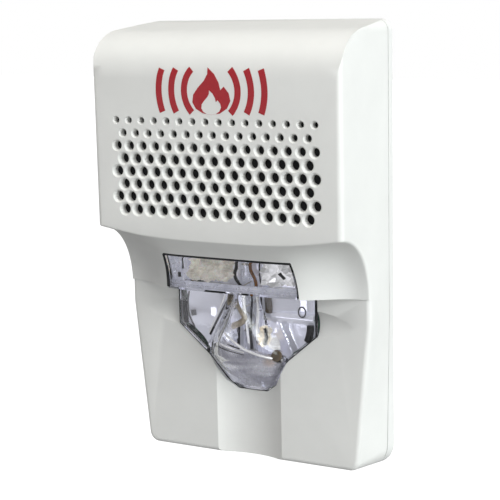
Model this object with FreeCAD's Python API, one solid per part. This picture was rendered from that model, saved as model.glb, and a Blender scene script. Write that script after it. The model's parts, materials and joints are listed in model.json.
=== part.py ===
import FreeCAD, Part
import math
import os

# Wall-mounted horn strobe for a one-gang box. Millimetres. X runs to the right as seen from the
# room, Z is up and the wall is the plane Y = 0, with the device standing out towards -Y.
# The origin is the middle of the back face, which is also the middle of the two box screws.

Vector = FreeCAD.Vector

# ---- outer form ----
WIDTH = 70.0
HEIGHT = 114.0
DEPTH = 28.9
PANEL_DEPTH = 13.7              # lower panel, in front of the wall
FRONT_DRAFT = 0.2               # each side, wall to front face
FRONT_EDGE_R = 1.5
TOP_CORNER_R = 3.0
BASE_CORNER_R = 6.0
PANEL_CORNER_R = 2.6
LEAST_CORNER_R = 0.6
PANEL_EDGE_R = 1.3              # front edge of the lower panel, all round
LIP_R = 0.6                     # where the front face turns into the cove
PANEL_TAPER = 4.1               # each side, at the foot of the lower panel
PANEL_RISE = 1.6                # foot of the panel above the foot of the back
TAPER_START = -17.0
CROWN_DEPTH = 16.0              # gently sloping top, from the wall
CROWN_DROP = 1.7
ROLL_DROP = 13.5                # foot of the rolled front edge, under the top
ROLL_REACH = 0.7                # how far the roll keeps the slope of the crown
ROLL_SAG = 0.06
ROLL_RISE = 0.6

# ---- hood over the strobe ----
LIP_MIDDLE = 3.6
LIP_END_RISE = 2.4
COVE_FOOT = -10.8
HOOD_REACH = 8.6                # middle of the hood's lower edge, in front of the panel
HOOD_HALF = 24.2                # where the hood's lower edge falls back fastest
HOOD_BLEND = 2.9
COVE_STATIONS = 9               # sections of the cove on each side of the middle
COVE_SPAN = 1.1                 # how far they reach, against half the width
COVE_PULL = 0.48
COVE_SLACK = 0.025
COVE_FULL = 0.2
COVE_TUCK = 0.03
COVE_KNEE = 0.34
COVE_KNEE_FULL = 0.16

# ---- walls and clearances ----
WALL = 2.0
PLATE = 2.4
SEAM = 0.3
GAP = 0.3                       # between pieces that must not touch
FIT = 0.25                      # lens in its window
SLIP = 0.05                     # running fit, on the radius
RIM = 1.6
RIM_ROOM = 0.8                  # between the plate's rim and the board

# ---- grille ----
ROWS = 8
LONG_ROW = 16
PITCH = 3.715
ROW_STEP = 3.215
TOP_ROW = 33.15
HOLE_SMALL = 0.76
HOLE_LARGE = 1.27
GROWING_ROWS = 3.2
RIM_RATIO = 1.36
RIM_SINK = 0.5

# ---- strobe window ----
BAR_TOP = -0.9
BAR_HALF_TOP = 18.5
BAR_HALF_FOOT = 19.1
BAR_CORNER_R = 0.3
WING_HALF = 20.3
WING_FOOT = -21.4
SHOULDER_HALF = 11.6
SHOULDER = -28.7
TIP_HALF = 4.2
TIP = -38.2
CHIN_HALF = 7.6
CHIN = -35.8
WING_CORNER_R = 0.8
CHIN_CORNER_R = 1.0
TIP_CORNER_R = 1.5
LENS_WALL = 1.8
WING_PROUD = 0.6
WEB = 2.0
FLANGE = 1.2
FLANGE_LAP = 1.3
FLANGE_DROP = 3.0
PROW_REACH = 7.5                # in front of the lower panel
PROW_SQUARE = 2.6               # superellipse exponent of the prow's section
PROW_NARROW = 0.32              # width at its top, against its width at the shoulder
PROW_FULL = -21.0               # where it stands out furthest
PROW_TOP_FALL = 1.0
PROW_FOOT_FALL = 3.0
PROW_LEVELS = 6
PROW_ROOT = 1.4                 # back of the prow, in front of the board
CHIN_PROUD = 2.5
TIP_PROUD = 0.5
TROUGH_HALF = 9.5
TROUGH_SINK = 3.0
TROUGH_TOP = -28.0
SCOOP_SINK = 1.6
SCOOP_HALF = 3.6
SCOOP_Z = -18.3
SCOOP_TIP = 30.3

# ---- circuit board ----
BOARD = 1.6
BOARD_ROOM = 0.7                # between the board and the back of the trough
BOARD_BACK = PANEL_DEPTH - TROUGH_SINK - WALL - BOARD_ROOM - BOARD
BOARD_EDGE = 1.2
BOARD_CLEAR = 1.0               # round the pieces that reach through the board
BLOCK_CLEAR = 1.6
HOOK_CLEAR = 3.2
BOSS_R = 2.4
BOARD_SCREW_R = 1.1
BOARD_SCREW_LENGTH = 7.0
BOARD_SCREW_HEAD_R = 2.5
BOARD_SCREW_HEAD = 1.5
CROSS = 3.2                     # cross recess of a board screw
CROSS_WIDTH = 0.6
CROSS_SINK = 0.7
UPPER_BOSS_X = 27.5
UPPER_BOSS_DROP = 19.8          # under the top of the device
LOWER_BOSS_X = 23.0
LOWER_BOSS_RISE = 10.5          # above the foot of the device

# ---- box screws and wire entry ----
BOX_SPACING = 83.3
BOX_HOLE_R = 2.2
BOX_HEAD_ROOM = 5.2
ENTRY_HALF = 14.0
ENTRY_TOP = 8.0
ENTRY_FOOT = -24.0

# ---- terminals ----
TERMINALS = 4
TERMINAL_PITCH = 7.62
BLOCK_FOOT = 10.5
BLOCK_HEIGHT = 13.0
BLOCK_DEPTH = 8.0
BLOCK_END = 0.8
BLOCK_FLOOR = 0.8               # under each screw hole
SCREW_SHIFT = 0.5
POCKET = 6.0
CLAMP = 1.0
CLAMP_BACK = 6.4
TERM_SCREW_R = 1.5
TERM_HEAD_R = 2.5
TERM_HEAD = 1.8
SLOT = 0.7
SLOT_SINK = 0.8
SPRING = 0.4
SPRING_WIDTH = 3.4
SPRING_FOOT = 3.0               # lengths of the spring's three runs, from its root
SPRING_BEND = 7.0
SPRING_TIP = 9.0
PAD_FOOT = 6.5
PAD_HEIGHT = 3.5
PAD_SIDE = 0.3

# ---- horn ----
HORN_Z = 23.0
HORN_R = 15.6
HORN_WALL = 1.5
HORN_ROOM = 1.2                 # between the terminal block and the horn
HORN_BACK = PLATE + BLOCK_DEPTH + HORN_ROOM
PIEZO_R = 13.5
PIEZO = 0.3
PIEZO_Y = 17.0
CERAMIC_R = 9.5
CERAMIC = 0.25
RING = 1.4
RING_THICK = 1.0
MESH = 0.4
MESH_HALF = 30.6
MESH_TOP = 34.7
MESH_FOOT = 8.6

# ---- flash tube and reflector ----
TUBE_R = 1.6
TUBE_SINK = 1.9                 # axis of the tube, behind the lower panel
TUBE_Y = PANEL_DEPTH - TUBE_SINK
TUBE_TOP = -4.0
TUBE_FOOT = -30.0
CAP_LENGTH = 2.6
LEAD_R = 0.4
LEAD_TURN = 0.8
BOOT_X = (-15.5, -2.6)
BOOT_Z = (-8.5, -1.7)
BOOT_DEPTH = 4.6
BOOT_ROUND = 1.6
WIRE_R = 0.45
WIRE_X = 3.9
WIRE_SHIFT = 1.3
REFLECTOR_ROOM = 0.4            # between the reflector and the board
REFLECTOR_BACK = BOARD_BACK + BOARD + REFLECTOR_ROOM
REFLECTOR_SIDE = 2.0
REFLECTOR_FOOT = 1.5
CUP_R = 8.4
CUP_SINK = 3.0
CUP_X = 10.0
CUP_Z = -17.0
GROOVE_R = 3.0

# ---- parts on the board ----
CAPACITOR_R = 5.8
CAPACITOR_X = (8.0, 31.0)
CAPACITOR_DROP = 11.2           # axis under the top of the device
CAPACITOR_GAP = 0.15
TRANSFORMER_X = (-28.0, -17.5)
TRANSFORMER_HEIGHT = 9.0
TRANSFORMER_DEPTH = 8.5
TRANSFORMER_EDGE = 0.8
CHOKE_X = -11.5
CHOKE_R = 3.6
CHOKE_CORE_R = 1.6
CHOKE_DEPTH = 7.5
CHOKE_FLANGE = 1.0
FILTER_R = 3.9
FILTER_DEPTH = 11.0
FILTER_X = -24.0
FILTER_Z = (16.0, 26.0)
TRANSISTOR_X = (19.5, 29.5)
TRANSISTOR_Z = (12.0, 22.0)
TRANSISTOR_DEPTH = 4.4
TAB = 1.3
TAB_HEIGHT = 6.0
TAB_HOLE_R = 1.8
DIODE_R = 1.25
DIODE_LENGTH = 4.6
DIODE_STEP = 3.6
DIODES = 4
DIODE_X = 18.6
DIODE_Z = 27.5
CHIP = 7.0
CHIP_DEPTH = 1.2
CHIP_X = 21.0
CHIP_Z = -33.0
SMD_LONG = 2.0
SMD_SHORT = 1.2
SMD_DEPTH = 0.8
SMD_STEP_X = 3.2
SMD_STEP_Z = 2.6
SMD_COLUMNS = 4
SMD_ROWS = 4
SMD_X = -23.0
SMD_Z = -30.0

# ---- hooks at the top, which the cover hangs and tilts on ----
HOOK_X = 1.5
HOOK_WIDTH = 4.5
HOOK = 1.2
HOOK_NOSE = 1.0
HOOK_PLAY = 1.0
LUG_BACK = 6.6
LUG = 1.6
LUG_DROP = 2.2

# ---- moving pieces on the back of the board ----
SWITCH_X = 3.0
SWITCH_Z = -6.0
SWITCH_WIDTH = 12.0
SWITCH_HEIGHT = 4.0
SWITCH_DEPTH = 2.0
KNOB = 2.0
KNOB_STEP = 2.0
KNOB_STEPS = 3
KNOB_AT_REST = 1
KNOB_RISE = 1.2
KNOB_SINK = 1.0
JUMPER_X = -7.0
JUMPER_Z = -17.0
PIN_PITCH = 2.54
PIN_R = 0.32
PINS = 3
PIN_LENGTH = 3.4
HEADER_DEPTH = 1.5
JUMPER_DEPTH = 2.0
JUMPER_SIDE = 1.2

FRONT = -DEPTH
PANEL = -PANEL_DEPTH
TOP = HEIGHT / 2
FOOT = -HEIGHT / 2
HALF = WIDTH / 2
BEYOND = 10.0                   # how far a cutter runs past what it cuts
COVER_BACK = -(PLATE + SEAM)
BOARD_FRONT = BOARD_BACK + BOARD
LENS_BACK = PANEL_DEPTH + WING_PROUD - LENS_WALL
REFLECTOR_FRONT = LENS_BACK - GAP
LUG_FOOT = TOP - WALL - LUG_DROP
RIM_FRONT = BOARD_BACK - RIM_ROOM
CAPACITOR_Z = TOP - CAPACITOR_DROP
PAD = 0.1


# ---- small helpers ----
def box(x, y, z):
    """Box between pairs of limits, given in any order."""
    low = Vector(min(x), min(y), min(z))
    high = Vector(max(x), max(y), max(z))
    size = high - low
    return Part.makeBox(size.x, size.y, size.z, low)


def around(centre, size):
    return (centre - size / 2, centre + size / 2)


def rod_y(x, z, radius, y):
    low, high = min(y), max(y)
    return Part.makeCylinder(radius, high - low, Vector(x, low, z), Vector(0, 1, 0))


def rod_z(x, y, radius, z):
    low, high = min(z), max(z)
    return Part.makeCylinder(radius, high - low, Vector(x, y, low), Vector(0, 0, 1))


def rod_x(y, z, radius, x):
    low, high = min(x), max(x)
    return Part.makeCylinder(radius, high - low, Vector(low, y, z), Vector(1, 0, 0))


def joined(shapes):
    whole = shapes[0].multiFuse(shapes[1:]) if len(shapes) > 1 else shapes[0]
    return whole.removeSplitter()


def mirrored(shape):
    """The same shape on the other side of the middle plane."""
    return shape.mirror(Vector(0, 0, 0), Vector(1, 0, 0))


def eased(share):
    """Smooth step from 0 to 1."""
    return share * share * (3 - 2 * share)


def extruded(wire, travel):
    return Part.Face(wire).extrude(travel)


def rounded_wire(corners, place):
    """Closed wire round (u, v, radius) corners, put in space by place(u, v)."""
    spans = []
    for index, (u, v, radius) in enumerate(corners):
        corner = Vector(u, v, 0)
        before = Vector(corners[index - 1][0], corners[index - 1][1], 0) - corner
        after = corners[(index + 1) % len(corners)]
        after = Vector(after[0], after[1], 0) - corner
        before.normalize()
        after.normalize()
        if radius == 0:
            spans.append((corner, None, corner))
            continue
        half_angle = before.getAngle(after) / 2
        reach = radius / math.tan(half_angle)
        middle = before + after
        middle.normalize()
        nearest = corner + middle * (radius / math.sin(half_angle) - radius)
        spans.append((corner + before * reach, nearest, corner + after * reach))
    edges = []
    for index, (start, middle, end) in enumerate(spans):
        if middle is not None:
            arc = Part.Arc(place(start.x, start.y), place(middle.x, middle.y), place(end.x, end.y))
            edges.append(arc.toShape())
        following = spans[(index + 1) % len(spans)][0]
        edges.append(Part.makeLine(place(end.x, end.y), place(following.x, following.y)))
    return Part.Wire(edges)


def at_depth(y):
    return lambda x, z: Vector(x, y, z)


def save(node, shape):
    shape.exportStep("parts/" + node + ".step")


# ---- outer form, which the cover, lens, board and plate all take their outline from ----
def outline(y, half, foot_half, top, foot, corner, foot_corner):
    """Outline across the device: straight above TAPER_START, tapering below it."""
    corners = [(-half, top, corner), (half, top, corner), (half, TAPER_START, 0),
               (foot_half, foot, foot_corner), (-foot_half, foot, foot_corner),
               (-half, TAPER_START, 0)]
    return rounded_wire(corners, at_depth(y))


def side_form(inset):
    """Seen from the side: crowned top, rolled front edge and flat front face."""
    top = TOP - inset
    front = FRONT + inset
    crown = Vector(0, -CROWN_DEPTH, top - CROWN_DROP)
    roll_end = Vector(0, front, top - ROLL_DROP)
    pull = ROLL_DROP - CROWN_DROP
    roll = Part.BezierCurve()
    roll.setPoles([crown,
                   Vector(0, -CROWN_DEPTH - ROLL_REACH * pull, crown.z - ROLL_SAG * pull),
                   Vector(0, front, roll_end.z + ROLL_RISE * pull), roll_end])
    back_top = Vector(0, BEYOND, top)
    wall_top = Vector(0, 0, top)
    back_foot = Vector(0, BEYOND, FOOT - BEYOND)
    front_foot = Vector(0, front, FOOT - BEYOND)
    edges = [Part.makeLine(back_foot, back_top), Part.makeLine(back_top, wall_top),
             Part.makeLine(wall_top, crown), roll.toShape(),
             Part.makeLine(roll_end, front_foot), Part.makeLine(front_foot, back_foot)]
    solid = extruded(Part.Wire(edges), Vector(WIDTH + 2 * BEYOND, 0, 0))
    solid.translate(Vector(-HALF - BEYOND, 0, 0))
    return solid


def plan_form(inset):
    """Seen from above: slight draft and a rounded edge on each side of the front face."""
    half = HALF - inset
    front_half = half - FRONT_DRAFT
    front = FRONT + inset
    radius = FRONT_EDGE_R
    corners = [(-half, BEYOND, 0), (half, BEYOND, 0), (half, 0, 0),
               (front_half, front, radius), (-front_half, front, radius), (-half, 0, 0)]
    wire = rounded_wire(corners, lambda x, y: Vector(x, y, FOOT - BEYOND))
    return extruded(wire, Vector(0, 0, HEIGHT + 2 * BEYOND))


def cove_cutter(inset):
    """Everything in front of the hollow cove, under the hood and in front of the panel."""
    sections = []
    for index in range(-COVE_STATIONS, COVE_STATIONS + 1):
        station = COVE_SPAN * math.sin(math.pi / 2 * index / COVE_STATIONS)
        x = station * HALF
        bell = 1 / (1 + math.exp((abs(x) - HOOD_HALF) / HOOD_BLEND))
        lip = LIP_MIDDLE + LIP_END_RISE * min(abs(station), 1) ** 3
        edge = PANEL - HOOD_REACH * bell
        fall = lip - COVE_FOOT
        run = edge - FRONT
        cove = Part.BezierCurve()
        slack = (COVE_SLACK + COVE_FULL * bell) * fall
        knee = (COVE_KNEE + COVE_KNEE_FULL * bell) * fall
        cove.setPoles([Vector(x, FRONT, lip), Vector(x, FRONT + COVE_PULL * run, lip - slack),
                       Vector(x, edge - COVE_TUCK * run, lip - knee),
                       Vector(x, edge, COVE_FOOT)])
        corners = [Vector(x, edge, COVE_FOOT), Vector(x, PANEL, COVE_FOOT),
                   Vector(x, PANEL, FOOT - BEYOND), Vector(x, FRONT - BEYOND, FOOT - BEYOND),
                   Vector(x, FRONT - BEYOND, lip), Vector(x, FRONT, lip)]
        edges = [cove.toShape()]
        for start, end in zip(corners, corners[1:]):
            edges.append(Part.makeLine(start, end))
        sections.append(Part.Wire(edges))
    cutter = Part.makeLoft(sections, True, False)
    cutter.translate(Vector(0, inset, inset))
    return cutter


def form(inset):
    """The whole outer form, or the same form a given distance further in."""
    half = HALF - inset
    top = TOP - inset
    foot = FOOT + inset
    corner = max(TOP_CORNER_R - inset, LEAST_CORNER_R)
    foot_corner = max(BASE_CORNER_R - inset, LEAST_CORNER_R)
    panel_corner = max(PANEL_CORNER_R - inset, LEAST_CORNER_R)
    panel_half = half - FRONT_DRAFT * (PANEL + inset) / (FRONT + inset)
    back = outline(0, half, half, top, foot, corner, foot_corner)
    panel = outline(PANEL + inset, panel_half, panel_half - PANEL_TAPER, top, foot + PANEL_RISE,
                    corner, panel_corner)
    body = Part.makeLoft([back, panel], True, True)
    if inset < PANEL_EDGE_R / 2:
        rim = [edge for edge in body.Edges if edge.BoundBox.YMax < PANEL + inset + PAD]
        body = body.makeFillet(PANEL_EDGE_R - inset, rim)
    hood_corners = [(-half, top, corner), (half, top, corner), (half, COVE_FOOT + inset, 0),
                    (-half, COVE_FOOT + inset, 0)]
    hood_wire = rounded_wire(hood_corners, at_depth(PANEL + inset + PANEL_EDGE_R))
    hood = extruded(hood_wire, Vector(0, FRONT - PANEL - BEYOND, 0))
    hood = hood.cut(cove_cutter(inset)).common(plan_form(inset))
    return joined([body, hood]).common(side_form(inset))


def outer_form():
    """The whole outer form, with the lip over the cove rounded."""
    whole = form(0)
    lip = [edge for edge in whole.Edges if edge.BoundBox.YMax < FRONT + PAD
           and edge.BoundBox.ZMax < LIP_MIDDLE + LIP_END_RISE and edge.Length > HALF]
    return whole.makeFillet(LIP_R, lip)


def slab(front, back):
    """Everything between two distances in front of the wall."""
    return box((-WIDTH, WIDTH), (-front, -back), (-HEIGHT, HEIGHT))


def trough(grow):
    """Round channel down the lower panel, under the lens."""
    radius = (TROUGH_HALF ** 2 + TROUGH_SINK ** 2) / (2 * TROUGH_SINK)
    axis_y = PANEL + TROUGH_SINK - radius
    return rod_z(0, axis_y, radius + grow, (TROUGH_TOP, FOOT - BEYOND))


def scoop(grow):
    """Shallow leaf-shaped relief beside the lens, on the right."""
    radius = (SCOOP_HALF ** 2 + SCOOP_SINK ** 2) / (2 * SCOOP_SINK)
    rings = []
    for x, sink in ((WING_HALF - 1, SCOOP_SINK), (SCOOP_TIP, 0)):
        centre = Vector(x, PANEL + sink - radius, SCOOP_Z)
        circle = Part.Circle(centre, Vector(1, 0, 0), radius + grow)
        rings.append(Part.Wire(circle.toShape()))
    return Part.makeLoft(rings, True, True)


def bar_prism(play, back):
    """Window of the strobe in the hood, less a clearance all round."""
    top = BAR_TOP - play
    foot = COVE_FOOT + play
    corners = [(-BAR_HALF_TOP + play, top, BAR_CORNER_R),
               (BAR_HALF_TOP - play, top, BAR_CORNER_R),
               (BAR_HALF_FOOT - play, foot, 0), (-BAR_HALF_FOOT + play, foot, 0)]
    wire = rounded_wire(corners, at_depth(-back))
    return extruded(wire, Vector(0, FRONT + back - BEYOND, 0))


def aperture(play, front, back):
    """Opening of the lower panel round the lens, less a clearance all round."""
    top = COVE_FOOT if play == 0 else COVE_FOOT + WEB
    right = [(WING_HALF, WING_FOOT, WING_CORNER_R), (SHOULDER_HALF, SHOULDER + play, WING_CORNER_R),
             (CHIN_HALF, CHIN + play, CHIN_CORNER_R), (TIP_HALF, TIP + play, TIP_CORNER_R)]
    right = [(x - play, z, radius) for x, z, radius in right]
    left = [(-x, z, radius) for x, z, radius in reversed(right)]
    corners = [(play - WING_HALF, top, 0), (WING_HALF - play, top, 0)] + right + left
    wire = rounded_wire(corners, at_depth(-front))
    return extruded(wire, Vector(0, front - back, 0))


# ---- front cover ----
def grille_holes():
    tools = []
    for row in range(ROWS):
        radius = HOLE_SMALL + (HOLE_LARGE - HOLE_SMALL) * eased(min(row / GROWING_ROWS, 1))
        count = LONG_ROW - row % 2
        z = TOP_ROW - row * ROW_STEP
        for column in range(count):
            x = (column - (count - 1) / 2) * PITCH
            sink = Part.makeCone(RIM_RATIO * radius, radius, RIM_SINK, Vector(x, FRONT, z),
                                 Vector(0, 1, 0))
            bore = rod_y(x, z, radius, (FRONT, FRONT + WALL + MESH / 2))
            tools.append(sink.fuse(bore))
    return Part.makeCompound(tools)


def boss_places():
    places = []
    for x, z in ((UPPER_BOSS_X, TOP - UPPER_BOSS_DROP), (LOWER_BOSS_X, FOOT + LOWER_BOSS_RISE)):
        places.append((x, z))
        places.append((-x, z))
    return places


def screw_end(z):
    """How far a board screw reaches: the lower ones stop at the panel's wall."""
    if z > COVE_FOOT:
        return BOARD_BACK + BOARD_SCREW_LENGTH
    return PANEL_DEPTH - WALL - GAP


def hook_lugs():
    """Two lugs under the cover's top wall, which the plate's hooks reach round."""
    lug = box((HOOK_X, HOOK_X + HOOK_WIDTH), (-LUG_BACK, -LUG_BACK - LUG), (LUG_FOOT, TOP - WALL / 2))
    return [lug, mirrored(lug)]


def front_cover():
    outer = outer_form().common(slab(DEPTH + BEYOND, -COVER_BACK))
    hollow = form(WALL)
    for cutter in (trough, scoop):
        outer = outer.cut(cutter(0))
        hollow = hollow.cut(cutter(WALL))
    outer = outer.cut(mirrored(scoop(0)))
    hollow = hollow.cut(mirrored(scoop(WALL)))
    shell = outer.cut(hollow)
    shell = shell.cut(bar_prism(0, BOARD_FRONT))
    shell = shell.cut(aperture(0, DEPTH, BOARD_FRONT))
    bosses = []
    for x, z in boss_places():
        boss = rod_y(x, z, BOSS_R, (FRONT + WALL / 2, -BOARD_FRONT))
        bosses.append(boss.common(form(WALL / 2)))
    shell = joined([shell] + bosses + [lug.common(form(WALL / 2)) for lug in hook_lugs()])
    for x, z in boss_places():
        pilot = (-BOARD_FRONT, -screw_end(z) - GAP)
        shell = shell.cut(rod_y(x, z, BOARD_SCREW_R + SLIP, pilot))
    return shell.cut(grille_holes())


# ---- base plate ----
def box_screw_places():
    return [(0, BOX_SPACING / 2), (0, -BOX_SPACING / 2)]


def base_plate():
    plate = form(0).common(slab(PLATE, 0))
    rim_out = form(WALL + GAP).common(slab(RIM_FRONT, PLATE / 2))
    rim = rim_out.cut(form(WALL + GAP + RIM))
    hooks = []
    stem_top = LUG_FOOT - GAP
    for side in (1, -1):
        x = (side * HOOK_X, side * (HOOK_X + HOOK_WIDTH))
        front = LUG_BACK + LUG + 2 * GAP + HOOK_PLAY
        stem = box(x, (-PLATE / 2, -front - HOOK), (stem_top - HOOK, stem_top))
        nose = box(x, (-front, -front - HOOK), (stem_top - HOOK / 2, stem_top + HOOK_NOSE))
        hooks.append(stem)
        hooks.append(nose)
    whole = joined([plate, rim] + hooks)
    whole = whole.cut(box((-ENTRY_HALF, ENTRY_HALF), (-DEPTH, BEYOND), (ENTRY_FOOT, ENTRY_TOP)))
    for x, z in box_screw_places():
        whole = whole.cut(rod_y(x, z, BOX_HOLE_R, (-DEPTH, BEYOND)))
    return whole


# ---- terminals ----
def terminal_places():
    return [(index - (TERMINALS - 1) / 2) * TERMINAL_PITCH for index in range(TERMINALS)]


def screw_z():
    return BLOCK_FOOT + BLOCK_HEIGHT / 2 + SCREW_SHIFT


def terminal_block():
    half = TERMINALS * TERMINAL_PITCH / 2 + BLOCK_END
    front = PLATE + BLOCK_DEPTH
    body = box((-half, half), (-PLATE, -front), (BLOCK_FOOT, BLOCK_FOOT + BLOCK_HEIGHT))
    z = screw_z()
    for x in terminal_places():
        pocket = box((x - POCKET / 2, x + POCKET / 2), (-CLAMP_BACK + GAP, -DEPTH),
                     (BLOCK_FOOT - BEYOND, z + POCKET / 2))
        body = body.cut(pocket)
        body = body.cut(rod_y(x, z, TERM_SCREW_R + SLIP, (-CLAMP_BACK, -PLATE - BLOCK_FLOOR)))
    return body


def terminal_clamps():
    clamps = []
    z = screw_z()
    half = POCKET / 2 - GAP
    for x in terminal_places():
        clamp = box((x - half, x + half), (-CLAMP_BACK, -CLAMP_BACK - CLAMP), (z - half, z + half))
        clamps.append(clamp.cut(rod_y(x, z, TERM_SCREW_R + SLIP, (0, -DEPTH))))
    return Part.makeCompound(clamps)


def terminal_screw(x):
    z = screw_z()
    seat = CLAMP_BACK + CLAMP + SLIP
    shank = rod_y(x, z, TERM_SCREW_R, (-seat, -PLATE - BLOCK_FLOOR - GAP))
    head = rod_y(x, z, TERM_HEAD_R, (-seat, -seat - TERM_HEAD))
    head = head.cut(box((x - TERM_HEAD_R, x + TERM_HEAD_R),
                        (-seat - TERM_HEAD, -seat - TERM_HEAD + SLOT_SINK),
                        (z - SLOT / 2, z + SLOT / 2)))
    return joined([shank, head])


def contact_springs():
    springs = []
    foot = BLOCK_FOOT + BLOCK_HEIGHT
    tip = BOARD_BACK - PAD - GAP
    for x in terminal_places():
        points = [(-PLATE, foot), (-PLATE - SPRING, foot), (-PLATE - SPRING, foot + SPRING_FOOT),
                  (-tip, foot + SPRING_BEND), (-tip, foot + SPRING_TIP),
                  (-tip + SPRING, foot + SPRING_TIP), (-tip + SPRING, foot + SPRING_BEND),
                  (-PLATE, foot + SPRING_FOOT)]
        corners = [(y, z, 0) for y, z in points]
        wire = rounded_wire(corners, lambda y, z, left=x - SPRING_WIDTH / 2: Vector(left, y, z))
        springs.append(extruded(wire, Vector(SPRING_WIDTH, 0, 0)))
    return Part.makeCompound(springs)


def contact_pads():
    foot = BLOCK_FOOT + BLOCK_HEIGHT + PAD_FOOT
    half = SPRING_WIDTH / 2 + PAD_SIDE
    pads = []
    for x in terminal_places():
        pads.append(box((x - half, x + half), (-BOARD_BACK, -BOARD_BACK + PAD),
                        (foot, foot + PAD_HEIGHT)))
    return Part.makeCompound(pads)


# ---- circuit board ----
def circuit_board():
    board = form(WALL + BOARD_EDGE).common(slab(BOARD_FRONT, BOARD_BACK))
    block_half = TERMINALS * TERMINAL_PITCH / 2 + BLOCK_END + BOARD_CLEAR
    board = board.cut(box((-block_half, block_half), (0, -DEPTH),
                          (BLOCK_FOOT - BOARD_CLEAR, BLOCK_FOOT + BLOCK_HEIGHT + BLOCK_CLEAR)))
    hook_gap = box((HOOK_X - BOARD_CLEAR, HOOK_X + HOOK_WIDTH + BOARD_CLEAR), (0, -DEPTH),
                   (LUG_FOOT - HOOK_CLEAR, TOP))
    board = board.cut(hook_gap).cut(mirrored(hook_gap))
    for x, z in box_screw_places():
        board = board.cut(rod_y(x, z, BOX_HEAD_ROOM, (0, -DEPTH)))
    for x, z in boss_places():
        board = board.cut(rod_y(x, z, BOARD_SCREW_R + GAP, (0, -DEPTH)))
    return board


def board_screws():
    screws = []
    for x, z in boss_places():
        shank = rod_y(x, z, BOARD_SCREW_R, (-BOARD_BACK, -screw_end(z)))
        head = rod_y(x, z, BOARD_SCREW_HEAD_R, (-BOARD_BACK, -BOARD_BACK + BOARD_SCREW_HEAD))
        recess = (-BOARD_BACK + BOARD_SCREW_HEAD - CROSS_SINK, 0)
        slot = box(around(x, CROSS), recess, around(z, CROSS_WIDTH))
        cross = box(around(x, CROSS_WIDTH), recess, around(z, CROSS))
        screws.append(joined([shank, head]).cut(slot).cut(cross))
    return Part.makeCompound(screws)


# ---- horn ----
def acoustic_mesh():
    back = FRONT + WALL + MESH
    return box((-MESH_HALF, MESH_HALF), (FRONT + WALL, back), (MESH_FOOT, MESH_TOP))


def horn_housing():
    front = FRONT + WALL + MESH
    cup = rod_y(0, HORN_Z, HORN_R, (front, -HORN_BACK))
    cup = cup.cut(rod_y(0, HORN_Z, HORN_R - HORN_WALL, (-DEPTH, -PIEZO_Y + RING_THICK + PIEZO)))
    cup = cup.cut(rod_y(0, HORN_Z, PIEZO_R - RING, (front, -HORN_BACK - HORN_WALL)))
    return cup


def horn_ring():
    """Rubber ring that the sounder disc lies on, at its rim."""
    back = -PIEZO_Y + PIEZO + RING_THICK
    ring = rod_y(0, HORN_Z, HORN_R - HORN_WALL, (-PIEZO_Y + PIEZO, back))
    return ring.cut(rod_y(0, HORN_Z, PIEZO_R - RING, (0, -DEPTH)))


def piezo_disc():
    return rod_y(0, HORN_Z, PIEZO_R, (-PIEZO_Y, -PIEZO_Y + PIEZO))


def piezo_ceramic():
    return rod_y(0, HORN_Z, CERAMIC_R, (-PIEZO_Y + PIEZO, -PIEZO_Y + PIEZO + CERAMIC))


# ---- strobe ----
def prow(shrink):
    """Clear nose of the lens, as half a superellipse that swells and then tapers downwards."""
    shoulder = SHOULDER_HALF - FIT
    chin = CHIN_HALF - FIT
    reach = PANEL_DEPTH + PROW_REACH
    top = COVE_FOOT + WEB / 2
    foot = SHOULDER - CHIN_CORNER_R
    trough_depth = PANEL_DEPTH - TROUGH_SINK
    levels = []
    for level in range(PROW_LEVELS):
        share = level / (PROW_LEVELS - 1)
        z = top + share * (foot - top)
        half = shoulder * (PROW_NARROW + (1 - PROW_NARROW) * eased(share))
        if z > PROW_FULL:
            fall = PROW_TOP_FALL * ((z - PROW_FULL) / (top - PROW_FULL)) ** 2
        else:
            fall = PROW_FOOT_FALL * ((z - PROW_FULL) / (foot - PROW_FULL)) ** 2
        levels.append((z, half, reach - fall))
    levels.append((CHIN, chin, trough_depth + CHIN_PROUD))
    levels.append((TIP + FIT, TIP_HALF - FIT, trough_depth + TIP_PROUD))
    back = BOARD_FRONT + PROW_ROOT
    sections = []
    for z, half, reach in levels:
        half = half - shrink
        reach = reach - shrink
        points = []
        for step in range(-4, 5):
            angle = step * math.pi / 8
            across = half * math.copysign(abs(math.sin(angle)) ** (2 / PROW_SQUARE), angle)
            out = back + (reach - back) * math.cos(angle) ** (2 / PROW_SQUARE)
            points.append(Vector(across, -out, z + shrink))
        curve = Part.BSplineCurve()
        curve.interpolate(points)
        edges = [curve.toShape(), Part.makeLine(points[-1], points[0])]
        sections.append(Part.Wire(edges))
    return Part.makeLoft(sections, True, False)


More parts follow.
